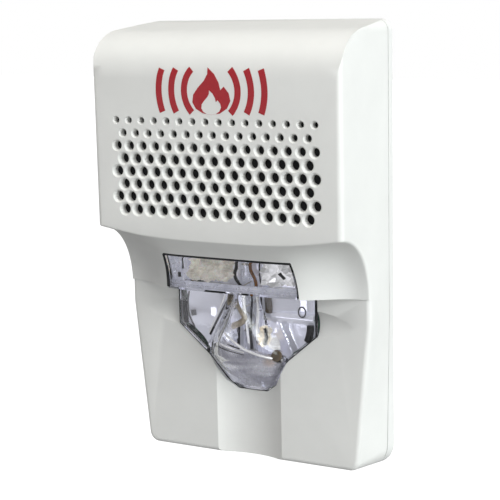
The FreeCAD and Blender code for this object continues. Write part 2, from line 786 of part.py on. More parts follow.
def strobe_lens():
    skin = form(FIT / 2)
    bar = skin.cut(form(FIT / 2 + LENS_WALL)).common(bar_prism(FIT, LENS_BACK))
    web = skin.common(bar_prism(FIT, LENS_BACK)).common(
        box((-WIDTH, WIDTH), (-DEPTH, -LENS_BACK), (COVE_FOOT + FIT, COVE_FOOT + WEB)))
    wings = aperture(FIT, PANEL_DEPTH + WING_PROUD, LENS_BACK)
    wings = wings.common(box((-WIDTH, WIDTH), (-DEPTH, 0), (SHOULDER, COVE_FOOT - FIT)))
    neck = box((-BAR_HALF_FOOT + FIT, BAR_HALF_FOOT - FIT), (PANEL - WING_PROUD, -LENS_BACK),
               (COVE_FOOT - WEB / 2, COVE_FOOT + WEB))
    swell = prow(0).common(aperture(FIT, DEPTH, 0))
    nose = swell.common(slab(DEPTH, LENS_BACK))
    tip = swell.common(box((-WIDTH, WIDTH), (-DEPTH, 0), (SHOULDER + WEB / 2, FOOT)))
    lap = aperture(-FLANGE_LAP, PANEL_DEPTH - WALL - GAP, PANEL_DEPTH - WALL - GAP - FLANGE)
    beside = box((-WIDTH, WIDTH), (-DEPTH, 0), (WING_FOOT - FLANGE_DROP, COVE_FOOT - FIT))
    lap = lap.common(beside)
    lap = lap.cut(scoop(WALL + GAP)).cut(mirrored(scoop(WALL + GAP)))
    inner = aperture(FLANGE_LAP, LENS_BACK, 0)
    rim = aperture(FIT, LENS_BACK + LENS_WALL / 2, PANEL_DEPTH - WALL - GAP - FLANGE)
    rim = rim.common(beside)
    whole = joined([bar, web, wings, neck, nose, tip, lap, rim])
    whole = whole.cut(prow(LENS_WALL))
    return whole.cut(inner)


def reflector():
    front = REFLECTOR_FRONT
    low = aperture(FLANGE_LAP + GAP, front, REFLECTOR_BACK)
    low = low.common(box((-WIDTH, WIDTH), (-DEPTH, 0), (SHOULDER + REFLECTOR_FOOT, COVE_FOOT - FIT - GAP)))
    high = box(around(0, 2 * (BAR_HALF_TOP - REFLECTOR_SIDE)), (-front, -REFLECTOR_BACK),
               (COVE_FOOT - FIT - GAP, BAR_TOP))
    whole = joined([low, high])
    bowl = (CUP_R ** 2 + CUP_SINK ** 2) / (2 * CUP_SINK)
    for side in (1, -1):
        ball = Part.makeSphere(bowl, Vector(side * CUP_X, -front + CUP_SINK - bowl, CUP_Z))
        whole = whole.cut(ball)
    groove = rod_z(0, -TUBE_Y, GROOVE_R, (BAR_TOP + 1, TUBE_FOOT - BEYOND))
    notch = box((-2 * LEAD_R, 2 * LEAD_R), (0, -TUBE_Y), (TUBE_TOP, BAR_TOP + 1))
    return whole.cut(groove).cut(notch)


def flash_tube():
    return rod_z(0, -TUBE_Y, TUBE_R, (TUBE_TOP, TUBE_FOOT + CAP_LENGTH))


def tube_caps():
    """Metal end caps of the tube, with the leads that run back to the board."""
    caps = []
    for end, way in ((TUBE_TOP, 1), (TUBE_FOOT + CAP_LENGTH, -1)):
        cap = rod_z(0, -TUBE_Y, TUBE_R, (end, end + way * CAP_LENGTH))
        turn = end + way * (CAP_LENGTH + LEAD_TURN)
        stem = rod_z(0, -TUBE_Y, LEAD_R, (end + way * CAP_LENGTH / 2, turn + way * LEAD_R))
        lead = rod_y(0, turn, LEAD_R, (-TUBE_Y, -BOARD_FRONT))
        caps.append(joined([cap, stem, lead]))
    return Part.makeCompound(caps)


def tube_boot():
    """Soft rubber boot beside the top of the tube, behind the window in the hood."""
    boot = box(BOOT_X, (-REFLECTOR_FRONT, -REFLECTOR_FRONT - BOOT_DEPTH), BOOT_Z)
    return boot.makeFillet(BOOT_ROUND, [edge for edge in boot.Edges
                                        if edge.BoundBox.YMin < -REFLECTOR_FRONT - GAP])


def trigger_wire():
    """Thin wire that bends across the front of the reflector beside the tube."""
    y = -REFLECTOR_FRONT - WIRE_R
    high = BAR_TOP - GAP
    low = COVE_FOOT + WEB + GAP
    middle = (high + low) / 2
    half = WIRE_SHIFT / 2
    points = [Vector(WIRE_X, y, high), Vector(WIRE_X, y, middle + 2 * half),
              Vector(WIRE_X + WIRE_SHIFT, y, middle - 2 * half), Vector(WIRE_X + WIRE_SHIFT, y, low)]
    bend = Part.BezierCurve()
    bend.setPoles([points[1], points[1] - Vector(0, 0, WIRE_SHIFT),
                   points[2] + Vector(0, 0, WIRE_SHIFT), points[2]])
    path = Part.Wire([Part.makeLine(points[0], points[1]), bend.toShape(),
                      Part.makeLine(points[2], points[3])])
    section = Part.Wire(Part.makeCircle(WIRE_R, points[0], Vector(0, 0, 1)))
    return path.makePipeShell([section], True, False)


# ---- parts on the board ----
def on_board(x, z, depth):
    """Box standing on the front of the board."""
    return box(x, (-BOARD_FRONT, -BOARD_FRONT - depth), z)


def flash_capacitor():
    y = -BOARD_FRONT - CAPACITOR_GAP - CAPACITOR_R
    can = rod_x(y, CAPACITOR_Z, CAPACITOR_R, CAPACITOR_X)
    legs = []
    for z in (CAPACITOR_Z - CAPACITOR_R / 2, CAPACITOR_Z + CAPACITOR_R / 2):
        foot_x = CAPACITOR_X[0] - 2 * LEAD_R
        legs.append(rod_x(y, z, LEAD_R, (foot_x, CAPACITOR_X[0])))
        legs.append(rod_y(foot_x, z, LEAD_R, (y - LEAD_R, -BOARD_FRONT)))
    return joined([can] + legs)


def trigger_transformer():
    height = around(CAPACITOR_Z, TRANSFORMER_HEIGHT)
    body = on_board(TRANSFORMER_X, height, TRANSFORMER_DEPTH)
    return body.makeChamfer(TRANSFORMER_EDGE, [edge for edge in body.Edges
                                  if edge.BoundBox.YMax < -BOARD_FRONT - GAP])


def choke_core():
    end = BOARD_FRONT + CHOKE_DEPTH
    drum = rod_y(CHOKE_X, CAPACITOR_Z, CHOKE_CORE_R, (-BOARD_FRONT, -end))
    foot = rod_y(CHOKE_X, CAPACITOR_Z, CHOKE_R, (-BOARD_FRONT, -BOARD_FRONT - CHOKE_FLANGE))
    head = rod_y(CHOKE_X, CAPACITOR_Z, CHOKE_R, (-end, -end + CHOKE_FLANGE))
    return joined([drum, foot, head])


def choke_winding():
    span = (-BOARD_FRONT - CHOKE_FLANGE, -BOARD_FRONT - CHOKE_DEPTH + CHOKE_FLANGE)
    coil = rod_y(CHOKE_X, CAPACITOR_Z, CHOKE_R - GAP, span)
    return coil.cut(rod_y(CHOKE_X, CAPACITOR_Z, CHOKE_CORE_R, span))


def filter_capacitors():
    cans = [rod_y(FILTER_X, z, FILTER_R, (-BOARD_FRONT, -BOARD_FRONT - FILTER_DEPTH))
            for z in FILTER_Z]
    return Part.makeCompound(cans)


def switching_transistor():
    body = on_board(TRANSISTOR_X, TRANSISTOR_Z, TRANSISTOR_DEPTH)
    foot = TRANSISTOR_Z[0] - TAB_HEIGHT
    middle = sum(TRANSISTOR_X) / 2
    tab = on_board(TRANSISTOR_X, (foot, TRANSISTOR_Z[0]), TAB)
    tab = tab.cut(rod_y(middle, foot + TAB_HEIGHT / 2, TAB_HOLE_R, (0, -DEPTH)))
    return joined([body, tab])


def rectifier_diodes():
    diodes = []
    for index in range(DIODES):
        x = DIODE_X + index * DIODE_STEP
        y = -BOARD_FRONT - DIODE_R
        body = rod_z(x, y, DIODE_R, around(DIODE_Z, DIODE_LENGTH))
        diodes.append(body)
    return Part.makeCompound(diodes)


def controller_chip():
    return on_board(around(CHIP_X, CHIP), around(CHIP_Z, CHIP), CHIP_DEPTH)


def smd_parts():
    parts = []
    for row in range(SMD_ROWS):
        for column in range(SMD_COLUMNS):
            x = SMD_X + column * SMD_STEP_X
            z = SMD_Z - row * SMD_STEP_Z
            parts.append(on_board(around(x, SMD_LONG), around(z, SMD_SHORT), SMD_DEPTH))
    return Part.makeCompound(parts)


# ---- setting pieces on the back of the board ----
def behind_board(x, z, near, far):
    """Box on the back of the board, between two heights above it."""
    return box(x, (-BOARD_BACK + near, -BOARD_BACK + far), z)


def candela_switch():
    body = behind_board(around(SWITCH_X, SWITCH_WIDTH), around(SWITCH_Z, SWITCH_HEIGHT), 0,
                        SWITCH_DEPTH)
    track = KNOB_STEPS * KNOB_STEP + KNOB + 2 * GAP
    return body.cut(behind_board(around(SWITCH_X, track), around(SWITCH_Z, KNOB + 2 * GAP),
                                 SWITCH_DEPTH - KNOB_SINK, BOARD_BACK))


def candela_slider():
    x = SWITCH_X + (KNOB_AT_REST - KNOB_STEPS / 2) * KNOB_STEP
    foot = SWITCH_DEPTH - KNOB_SINK + GAP
    knob = behind_board(around(x, KNOB), around(SWITCH_Z, KNOB), foot, SWITCH_DEPTH + KNOB_RISE)
    grip = behind_board(around(x, KNOB / 3), around(SWITCH_Z, 2 * KNOB), SWITCH_DEPTH + KNOB_RISE / 2,
                        SWITCH_DEPTH + KNOB_RISE + BOARD)
    return knob.cut(grip)


def pin_places():
    return [JUMPER_X + (index - (PINS - 1) / 2) * PIN_PITCH for index in range(PINS)]


def volume_header():
    body = behind_board(around(JUMPER_X, PINS * PIN_PITCH), around(JUMPER_Z, PIN_PITCH), 0,
                        HEADER_DEPTH)
    for x in pin_places():
        body = body.cut(rod_y(x, JUMPER_Z, PIN_R, (0, -BOARD_BACK)))
    return body


def header_pins():
    pins = [rod_y(x, JUMPER_Z, PIN_R, (-BOARD_BACK, -BOARD_BACK + PIN_LENGTH))
            for x in pin_places()]
    return Part.makeCompound(pins)


def volume_jumper():
    """Plug over the first two pins, which pulls straight off them."""
    first, second = pin_places()[:2]
    near = HEADER_DEPTH + GAP
    plug = behind_board((first - JUMPER_SIDE, second + JUMPER_SIDE),
                        around(JUMPER_Z, 2 * JUMPER_SIDE), near, near + JUMPER_DEPTH)
    for x in (first, second):
        plug = plug.cut(rod_y(x, JUMPER_Z, PIN_R + SLIP, (0, -BOARD_BACK)))
    return plug


def main():
    os.makedirs("parts", exist_ok=True)
    save("front_cover", front_cover())
    save("base_plate", base_plate())
    save("terminal_block", terminal_block())
    save("terminal_clamps", terminal_clamps())
    for index, x in enumerate(terminal_places()):
        save("terminal_screw_" + str(index + 1), terminal_screw(x))
    save("contact_springs", contact_springs())
    save("contact_pads", contact_pads())
    save("circuit_board", circuit_board())
    save("board_screws", board_screws())
    save("acoustic_mesh", acoustic_mesh())
    save("horn_housing", horn_housing())
    save("horn_ring", horn_ring())
    save("piezo_disc", piezo_disc())
    save("piezo_ceramic", piezo_ceramic())
    save("strobe_lens", strobe_lens())
    save("reflector", reflector())
    save("flash_tube", flash_tube())
    save("tube_caps", tube_caps())
    save("tube_boot", tube_boot())
    save("trigger_wire", trigger_wire())
    save("flash_capacitor", flash_capacitor())
    save("trigger_transformer", trigger_transformer())
    save("choke_core", choke_core())
    save("choke_winding", choke_winding())
    save("filter_capacitors", filter_capacitors())
    save("switching_transistor", switching_transistor())
    save("rectifier_diodes", rectifier_diodes())
    save("controller_chip", controller_chip())
    save("smd_parts", smd_parts())
    save("candela_switch", candela_switch())
    save("candela_slider", candela_slider())
    save("volume_header", volume_header())
    save("header_pins", header_pins())
    save("volume_jumper", volume_jumper())


main()
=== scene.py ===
"""Horn strobe: its mouldings, lens, reflector, fittings, finishes, lights and camera."""

import json
import math
import random

import bpy
from bpy.props import FloatProperty, FloatVectorProperty, PointerProperty
from mathutils import Matrix, Vector
from mathutils.bvhtree import BVHTree


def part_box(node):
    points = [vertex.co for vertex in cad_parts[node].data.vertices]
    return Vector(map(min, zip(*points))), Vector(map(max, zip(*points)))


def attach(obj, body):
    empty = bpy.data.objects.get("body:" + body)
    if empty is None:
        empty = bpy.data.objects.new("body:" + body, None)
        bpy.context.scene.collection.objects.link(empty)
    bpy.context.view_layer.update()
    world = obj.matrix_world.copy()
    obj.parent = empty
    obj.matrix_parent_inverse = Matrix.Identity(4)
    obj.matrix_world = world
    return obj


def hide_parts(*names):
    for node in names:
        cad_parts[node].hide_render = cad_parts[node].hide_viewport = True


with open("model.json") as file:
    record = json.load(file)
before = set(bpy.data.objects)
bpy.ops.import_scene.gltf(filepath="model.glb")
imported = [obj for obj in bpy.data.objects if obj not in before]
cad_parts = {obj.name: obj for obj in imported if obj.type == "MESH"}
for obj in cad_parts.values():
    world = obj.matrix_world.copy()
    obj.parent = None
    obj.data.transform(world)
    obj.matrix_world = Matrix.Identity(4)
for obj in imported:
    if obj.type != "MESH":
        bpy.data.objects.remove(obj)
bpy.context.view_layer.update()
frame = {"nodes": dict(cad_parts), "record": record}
NODES = frame["nodes"]

bl_info = {
    "name": "Horn strobe",
    "version": (1, 0, 0),
    "blender": (4, 5, 0),
    "location": "View3D > Sidebar > Horn strobe",
    "description": "Builds the visible pieces of a wall-mounted horn strobe",
    "category": "Object",
}

MM = 0.001
FRONT_UNIT = "front_unit"
WALL_PLATE = "wall_plate"
METALLISED = "metallised_plastic"
BLACK = "black_plastic"
TUBE_METAL = "tube_metal"
SMOOTH_ANGLE = math.radians(28)
MERGE = 0.002 * MM

# ---- printed sign: metres, and shares of its height ----
SIGN_FOOT = 35.0 * MM
INK = 0.03 * MM
SIGN_ROWS = 26
SIGN_RADII = (0.66, 0.98, 1.3)
SIGN_STROKE = 0.15
SIGN_REACH = 0.46
FLAME_WIDE, FLAME_CORE = 1.2, 0.52

# ---- lens, in millimetres ----
LENS_ROUND = 0.12
BAR_TOP = -1.55
BAR_FOOT = -10.55
BAR_HALF = (17.9, 18.55)
BAR_ROWS, WING_ROWS, LENS_COLUMNS = 20, 110, 130
BAR_REST, BAR_EDGE, BAR_LIP = -1.3, 18.1, 0.15
STEP_DOWN = 0.02
# Painted shade line in the gap round the lens: its top height and its front depth.
GAP_SHADE_TOP, GAP_SHADE_FRONT = -1.15, -13.75
WING_HALF, WING_FOOT = 20.3, -21.4
SHOULDER_HALF, SHOULDER = 11.6, -28.7
CHIN_HALF, CHIN = 7.6, -35.8
TIP_HALF, TIP = 4.2, -38.2
LENS_FOOT = TIP + 0.25
LENS_OUTLINE = ((BAR_FOOT, 19.95), (WING_FOOT, 19.95), (SHOULDER, 11.3), (CHIN, 7.3),
                (LENS_FOOT, 3.9))
WING_FRONT = ((SHOULDER, 14.3), (SHOULDER - 2.5, 10.0))
PROW_TOP, PROW_FULL, PROW_FOOT = -9.8, -21.0, -29.7
PROW_WIDE, PROW_NARROW = 11.35, 0.32
PROW_REACH, PROW_FALL, PROW_BACK = 21.2, 3.0, 9.4
PROW_SQUARE = 2.6
PROW_LOW = ((PROW_FOOT, PROW_REACH - PROW_FALL), (CHIN, 13.2), (LENS_FOOT, 11.2))

# ---- reflector and panels, in millimetres ----
REFLECTOR_TOP, REFLECTOR_FOOT, REFLECTOR_HALF = -1.0, -36.4, 18.6
REFLECTOR_GAP = 1.1
FACE = 12.1
CHEEK_FOLD, CHEEK_STEP = -13, 0.95
TROUGH, TROUGH_DEEP = 3.3, 3.2
DISH_X, DISH_Z, DISH_WIDE, DISH_TALL, DISH_DEEP = 12.4, 17.8, 7.3, 9.4, 3.4
RAIL, RAIL_HALF = 17.7, 1.35
CHIN_RIDGE, CHIN_SLANT, CHIN_WIDE, CHIN_FOOT = -24.6, 0.37, 9.4, -37.3
CHIN_SHRINK = 2.15
DOME = (-6.4, -13.0, -24.3)
DOME_WIDE, DOME_DEEP, DOME_TALL = 3.3, 5.0, 4.6
PANEL_BACK = 12.7

# ---- strands behind the lens: name, points and radius in millimetres ----
# Painted shade: dark strands laid where the lens shows only shade and dark reflections.
SHADE_LINES = (
    ("shade_left_wing", [(-18.9, -12.4, -15.6), (-19.1, -12.4, -18.5), (-18.6, -12.4, -21.4)], 0.7),
    ("shade_right_wing", [(17.9, -12.3, -18.9), (18.1, -12.3, -21.0), (17.0, -12.3, -23.2)], 0.95),
    ("shade_dish", [(-17.2, -11.2, -18.2), (-17.0, -11.2, -19.6)], 0.7),
    ("shade_bar", [(-17.5, -17.2, -6.8), (-17.5, -17.2, -8.0)], 0.55),
    ("shade_foot", [(-12.4, -12.5, -27.9), (-11.6, -12.5, -28.9)], 0.6),
    ("shade_tube", [(3.9, -12.3, -11.6), (4.2, -12.3, -20.5)], 0.3),
    ("shade_ridge", [(-5.1, -12.5, -13.2), (-8.2, -12.5, -18.0), (-11.4, -12.5, -24.0)], 0.3),
    ("shade_dish_rim", [(-17.6, -12.3, -13.0), (-18.3, -12.3, -16.0), (-17.9, -12.3, -19.6),
                       (-16.2, -12.3, -22.4)], 0.22),
    ("shade_foil_left", [(5.0, -14.4, -2.0), (4.6, -14.6, -5.0), (5.1, -14.4, -8.6)], 0.2),
    ("shade_foil_mark", [(10.8, -15.2, -5.2), (12.2, -15.3, -6.6)], 0.4),
    ("shade_foil_right", [(15.0, -14.6, -2.2), (15.3, -14.6, -8.8)], 0.42),
    ("shade_cheek", [(-17.4, -15.4, -2.0), (-17.5, -15.2, -6.0)], 0.16),
    ("shade_tube_mid", [(1.3, -14.4, -11.8), (1.9, -14.6, -22.0)], 0.2),
    ("shade_spark", [(5.4, -14.9, -20.6), (6.4, -15.1, -22.6), (5.6, -14.8, -24.6)], 0.42),
    ("shade_streak_high", [(-8.0, -15.4, -23.4), (-3.6, -18.7, -24.2), (1.0, -19.0, -25.0)], 0.14),
    ("shade_streak_low", [(-7.8, -16.2, -25.2), (-3.0, -18.8, -25.8), (2.0, -18.9, -26.6)], 0.12),
    ("shade_trough", [(-3.5, -12.3, -21.0), (-3.3, -12.3, -26.5)], 0.35),
)
# Painted highlights: glowing bright strands laid where the lens shows highlights and white
# reflections.
PAINTED_HIGHLIGHTS = (
    ("chin_ridge", [(-8.2, -14.6, -21.0), (-2.0, -18.4, -23.2), (4.0, -18.6, -26.0),
                    (8.8, -15.6, -28.0), (9.6, -13.0, -28.4)], 0.32),
    ("chin_streak", [(-8.2, -15.9, -24.3), (-3.4, -18.7, -25.0), (2.0, -19.0, -25.9)], 0.2),
    ("dish_rim", [(-6.4, -12.8, -13.0), (-8.6, -12.9, -17.6), (-11.6, -12.8, -23.4)], 0.22),
    ("post_dome", [(7.2, -12.6, -24.6), (8.2, -14.0, -24.5)], 1.7),
    ("tube_highlight_left", [(-0.6, -13.9, -11.6), (0.5, -14.1, -25.0)], 0.3),
    ("tube_highlight_right", [(2.4, -13.5, -11.6), (3.0, -13.7, -24.0)], 0.35),
)
RESIN = (
    ("resin_drop", [(6.0, -12.6, -12.4), (6.6, -13.2, -14.4), (6.3, -12.8, -16.4)], 1.05),
    ("resin_foot", [(8.4, -13.0, -27.5), (9.3, -15.4, -27.1)], 1.5),
)
LEAD = [(1.6, -13.2, -2.0), (1.5, -13.6, -4.6), (2.5, -13.9, -6.4), (3.4, -13.8, -8.0),
        (3.3, -13.6, -10.6)]
SLEEVE = [(-3.6, -13.4, -12.0), (-3.5, -13.8, -14.2), (-2.0, -14.2, -16.2), (0.0, -14.2, -18.0),
          (-1.4, -14.0, -19.8), (-4.0, -13.6, -20.8)]
# Painted shade: a dark line in the boot's gap and a dark line for the boot's shadow.
BOOT_GAP_SHADE = ("boot_gap_shade", [(-3.0, -13.3, -2.2), (-2.0, -13.6, -4.2), (-2.9, -13.8, -6.2),
                         (-2.6, -13.6, -8.4), (-1.2, -13.2, -10.2)], 0.42)
BOOT_SHADOW = ("boot_shadow", [(-16.0, -13.4, -9.6), (-10.0, -13.8, -9.9),
                               (-3.4, -13.4, -10.4)], 0.62)
EYELET, EYELET_WIDE, EYELET_TALL, EYELET_WIRE = (15.9, -13.0, -15.6), 1.05, 1.35, 0.2
TUBE_WALL, ELECTRODE, BAND_WIRE = 0.35, 0.4, 0.13
FOIL_SEED, FOIL_JITTER = 7, 0.3

# ---- trigger band and boot: shares of the tube's and the boot's size, and metres ----
BAND_TURNS, BAND_PITCH, BAND_FOOT, BAND_LIFT = 3.5, 0.25, 0.42, 1.05
BOOT_FILL = 0.86
BOOT_WRINKLE, BOOT_SWELL = 2.6 * MM, 5.5 * MM

# ---- studio: name, place in metres, size in metres, power in watts, colour ----
LAMPS = (
    ("right_softbox", (0.95, -0.24, 0.2), 0.7, 7.4, (0.95, 1.0, 1.0)),
    ("top_softbox", (-0.15, -0.35, 0.9), 0.7, 3.3, (1.0, 0.96, 0.88)),
    ("front_softbox", (0.95, -0.75, 0.85), 0.9, 5.2, (1.0, 1.0, 1.0)),
    ("left_card", (-0.75, -1.25, -0.25), 0.5, 1.5, (0.93, 0.93, 1.0)),
    ("low_card", (0.3, -1.2, -0.7), 0.3, 1.6, (0.95, 0.95, 1.0)),
)
FLOOR_SIZE, FLOOR_HEIGHT = 12, -0.35
SKY_FROM = (0.35, -0.25, 0.9)
SKY_DIM, SKY_BRIGHT = (0.06, 0.06, 0.063, 1), (0.5, 0.5, 0.5, 1)
CAMERA_PLACE = (0.17875, -0.32808, 0.0635)
SENSOR = 36


# ---- selecting ----
def nothing_selected():
    """Leaves object mode with nothing selected."""
    if bpy.context.object and bpy.context.object.mode != "OBJECT":
        bpy.ops.object.mode_set(mode="OBJECT")
    bpy.ops.object.select_all(action="DESELECT")


def only(piece):
    nothing_selected()
    piece.select_set(True)
    bpy.context.view_layer.objects.active = piece


def apply_modifiers(piece):
    only(piece)
    for modifier in list(piece.modifiers):
        bpy.ops.object.modifier_apply(modifier=modifier.name)


def settle(piece):
    """Puts a finished piece's place into its mesh."""
    only(piece)
    bpy.ops.object.transform_apply(location=True, rotation=True, scale=True)


def smoothed(piece, angle=SMOOTH_ANGLE):
    only(piece)
    bpy.ops.object.shade_smooth_by_angle(angle=angle)


def finish_piece(piece, body, slot, material, *nodes):
    """Gives a piece its material and body, and lets it stand for CAD nodes; the slot is not used.
    """
    piece.data.materials.clear()
    piece.data.materials.append(material)
    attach(piece, body)
    if nodes:
        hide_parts(*nodes)
    return piece


def merged_copy(node, name):
    """A copy of a CAD node with its loose triangles merged into one skin."""
    piece = bpy.data.objects.new(name, NODES[node].data.copy())
    bpy.context.scene.collection.objects.link(piece)
    only(piece)
    bpy.ops.mesh.customdata_custom_splitnormals_clear()
    bpy.ops.object.mode_set(mode="EDIT")
    bpy.ops.mesh.select_all(action="SELECT")
    bpy.ops.mesh.remove_doubles(threshold=MERGE)
    bpy.ops.object.mode_set(mode="OBJECT")
    return piece


def softened(piece, width, angle=math.radians(40), segments=2):
    """Rounds a piece's hard edges."""
    modifier = piece.modifiers.new("edge", "BEVEL")
    modifier.width = width
    modifier.segments = segments
    modifier.limit_method = "ANGLE"
    modifier.angle_limit = angle
    modifier.use_clamp_overlap = True
    modifier.harden_normals = False
    apply_modifiers(piece)
    return piece


def draped_grid(name, columns, rows, place):
    """A grid whose points are each put in place, in millimetres, by a function of two shares."""
    nothing_selected()
    bpy.ops.mesh.primitive_grid_add(x_subdivisions=columns, y_subdivisions=rows, size=1)
    piece = bpy.context.object
    piece.name = name
    for vertex in piece.data.vertices:
        vertex.co = place(vertex.co.x + 0.5, vertex.co.y + 0.5) * MM
    return piece


def walled(piece, thickness):
    """Gives an outer skin its wall, behind it, and turns all faces outwards."""
    wall = piece.modifiers.new("wall", "SOLIDIFY")
    wall.thickness = thickness
    wall.offset = -1
    wall.use_even_offset = False
    apply_modifiers(piece)
    only(piece)
    bpy.ops.object.mode_set(mode="EDIT")
    bpy.ops.mesh.select_all(action="SELECT")
    bpy.ops.mesh.normals_make_consistent(inside=False)
    bpy.ops.object.mode_set(mode="OBJECT")


def thin_skin(name, steps, place, wall, slot, material, *nodes, angle=SMOOTH_ANGLE):
    """A draped grid with a wall and a finish, on the front unit; steps are columns and rows."""
    piece = draped_grid(name, *steps, place)
    walled(piece, wall * MM)
    smoothed(piece, angle)
    return finish_piece(piece, FRONT_UNIT, slot, material, *nodes)


def swept(name, points, radius, smooth=True, closed=False, metres=False):
    """A round strand along points, in millimetres."""
    scale = 1 if metres else MM
    curve = bpy.data.curves.new(name, "CURVE")
    curve.dimensions = "3D"
    spline = curve.splines.new("NURBS" if smooth else "POLY")
    spline.points.add(len(points) - 1)
    for point, place in zip(spline.points, points):
        point.co = (*(Vector(place) * scale), 1)
    spline.use_cyclic_u = closed
    if smooth:
        spline.order_u = 3
        spline.use_endpoint_u = not closed
        spline.resolution_u = 8
    curve.bevel_depth = radius
    curve.bevel_resolution = 3
    curve.use_fill_caps = True
    piece = bpy.data.objects.new(name, curve)
    bpy.context.scene.collection.objects.link(piece)
    only(piece)
    bpy.ops.object.convert(target="MESH")
    piece = bpy.context.object
    smoothed(piece, math.radians(40))
    return piece


def strands(lines, slot, material):
    """Sweeps each of a list of (name, points, radius), in millimetres, on the front unit."""
    for name, points, thick in lines:
        finish_piece(swept(name, points, thick * MM), FRONT_UNIT, slot, material)


def filled_outline(name, outlines):
    """A flat mesh in the XY plane, filled between its outlines, in millimetres."""
    curve = bpy.data.curves.new(name, "CURVE")
    curve.dimensions = "2D"
    curve.fill_mode = "BOTH"
    for outline in outlines:
        spline = curve.splines.new("POLY")
        spline.points.add(len(outline) - 1)
        for point, (x, y) in zip(spline.points, outline):
            point.co = (x * MM, y * MM, 0, 1)
        spline.use_cyclic_u = True
    piece = bpy.data.objects.new(name, curve)
    bpy.context.scene.collection.objects.link(piece)
    only(piece)
    bpy.ops.object.convert(target="MESH")
    return bpy.context.object


def cut_across(piece, place, normal):
    """Adds an edge where a plane crosses a piece."""
    only(piece)
    bpy.ops.object.mode_set(mode="EDIT")
    bpy.ops.mesh.select_all(action="SELECT")
    bpy.ops.mesh.bisect(plane_co=place, plane_no=normal)
    bpy.ops.object.mode_set(mode="OBJECT")


def skin_of(node):
    mesh = NODES[node].data
    return BVHTree.FromPolygons([vertex.co for vertex in mesh.vertices],
                                [face.vertices for face in mesh.polygons])


def front_of(skin, x, z):
    """How far back the front of a skin lies, in metres, at a place seen from the front."""
    return skin.ray_cast(Vector((x, -1, z)), Vector((0, 1, 0)))[0].y


def fanned(start, end, steps):
    return [start + (end - start) * step / steps for step in range(steps + 1)]


def ring_points(centre, half_x, half_z):
    return [(centre[0] + half_x * math.cos(turn), centre[1], centre[2] + half_z * math.sin(turn))
            for turn in fanned(0, 2 * math.pi, 12)[:-1]]


# ---- shapes of the lens and reflector, in millimetres ----
def eased(share):
    share = min(1, max(0, share))
    return share * share * (3 - 2 * share)


def between(value, stops):
    """Straight-line reading of a list of (place, value) stops, from high to low places."""
    for (high, first), (low, second) in zip(stops, stops[1:]):
        if value >= low:
            return first + (second - first) * max(0, (high - value) / (high - low))
    return stops[-1][1]


def lens_half(z):
    return between(z, LENS_OUTLINE)


def wing_front(z):
    return between(z, WING_FRONT)


def prow_half(z):
    share = (PROW_TOP - z) / (PROW_TOP - PROW_FOOT)
    swell = PROW_WIDE * (PROW_NARROW + (1 - PROW_NARROW) * eased(share))
    return min(swell, lens_half(z)) if z > PROW_FOOT else lens_half(z)


def prow_front(x, z, shrink):
    """How far in front of the wall the prow's surface is."""
    half = prow_half(z) - shrink
    if abs(x) >= half:
        return PROW_BACK
    if z > PROW_FULL:
        reach = PROW_REACH - ((z - PROW_FULL) / (PROW_TOP - PROW_FULL)) ** 2
    elif z > PROW_FOOT:
        reach = PROW_REACH - PROW_FALL * ((z - PROW_FULL) / (PROW_FOOT - PROW_FULL)) ** 2
    else:
        reach = between(z, PROW_LOW)
    reach = reach - shrink
    out = (1 - (abs(x) / half) ** PROW_SQUARE) ** (1 / PROW_SQUARE)
    return PROW_BACK + (reach - PROW_BACK) * out


def reflector_front(x, z):
    """Bright face: dish on the left, bar and flats on the right, trough for the tube, flutes."""
    front = FACE
    if z > BAR_FOOT:
        if x < CHEEK_FOLD:
            front = 11.6 + 0.5 * math.cos(math.pi * (x - CHEEK_FOLD) / CHEEK_STEP)
        elif x < -4:
            front = 10.4
        elif x < 4.6:
            front = 12.0 - 0.05 * abs(x)
        else:
            front = 11.2
        return front
    if abs(x) < TROUGH:
        return front - TROUGH_DEEP * (1 - (x / TROUGH) ** 2)
    if x < 0:
        edge = (x + 5.0) + (z + 12.5) * -0.5
        dish = 1 - ((x + DISH_X) / DISH_WIDE) ** 2 - ((z + DISH_Z) / DISH_TALL) ** 2
        if dish > 0 and edge < 0:
            front -= DISH_DEEP * dish ** 0.8 * min(1, -edge / 0.7)
        return front
    if abs(z + RAIL) < RAIL_HALF:
        return front - 0.25 * abs(z + RAIL)
    if z > RAIL_HALF - RAIL:
        return front - 1.4 + 0.9 * math.cos((x - 5) / 3.0)
    crest = abs((x - 9.4) + (z + 20.0) * 0.43)
    return max(front - 2.6 + 0.1 * (x - 6), front - 1.6 * crest)


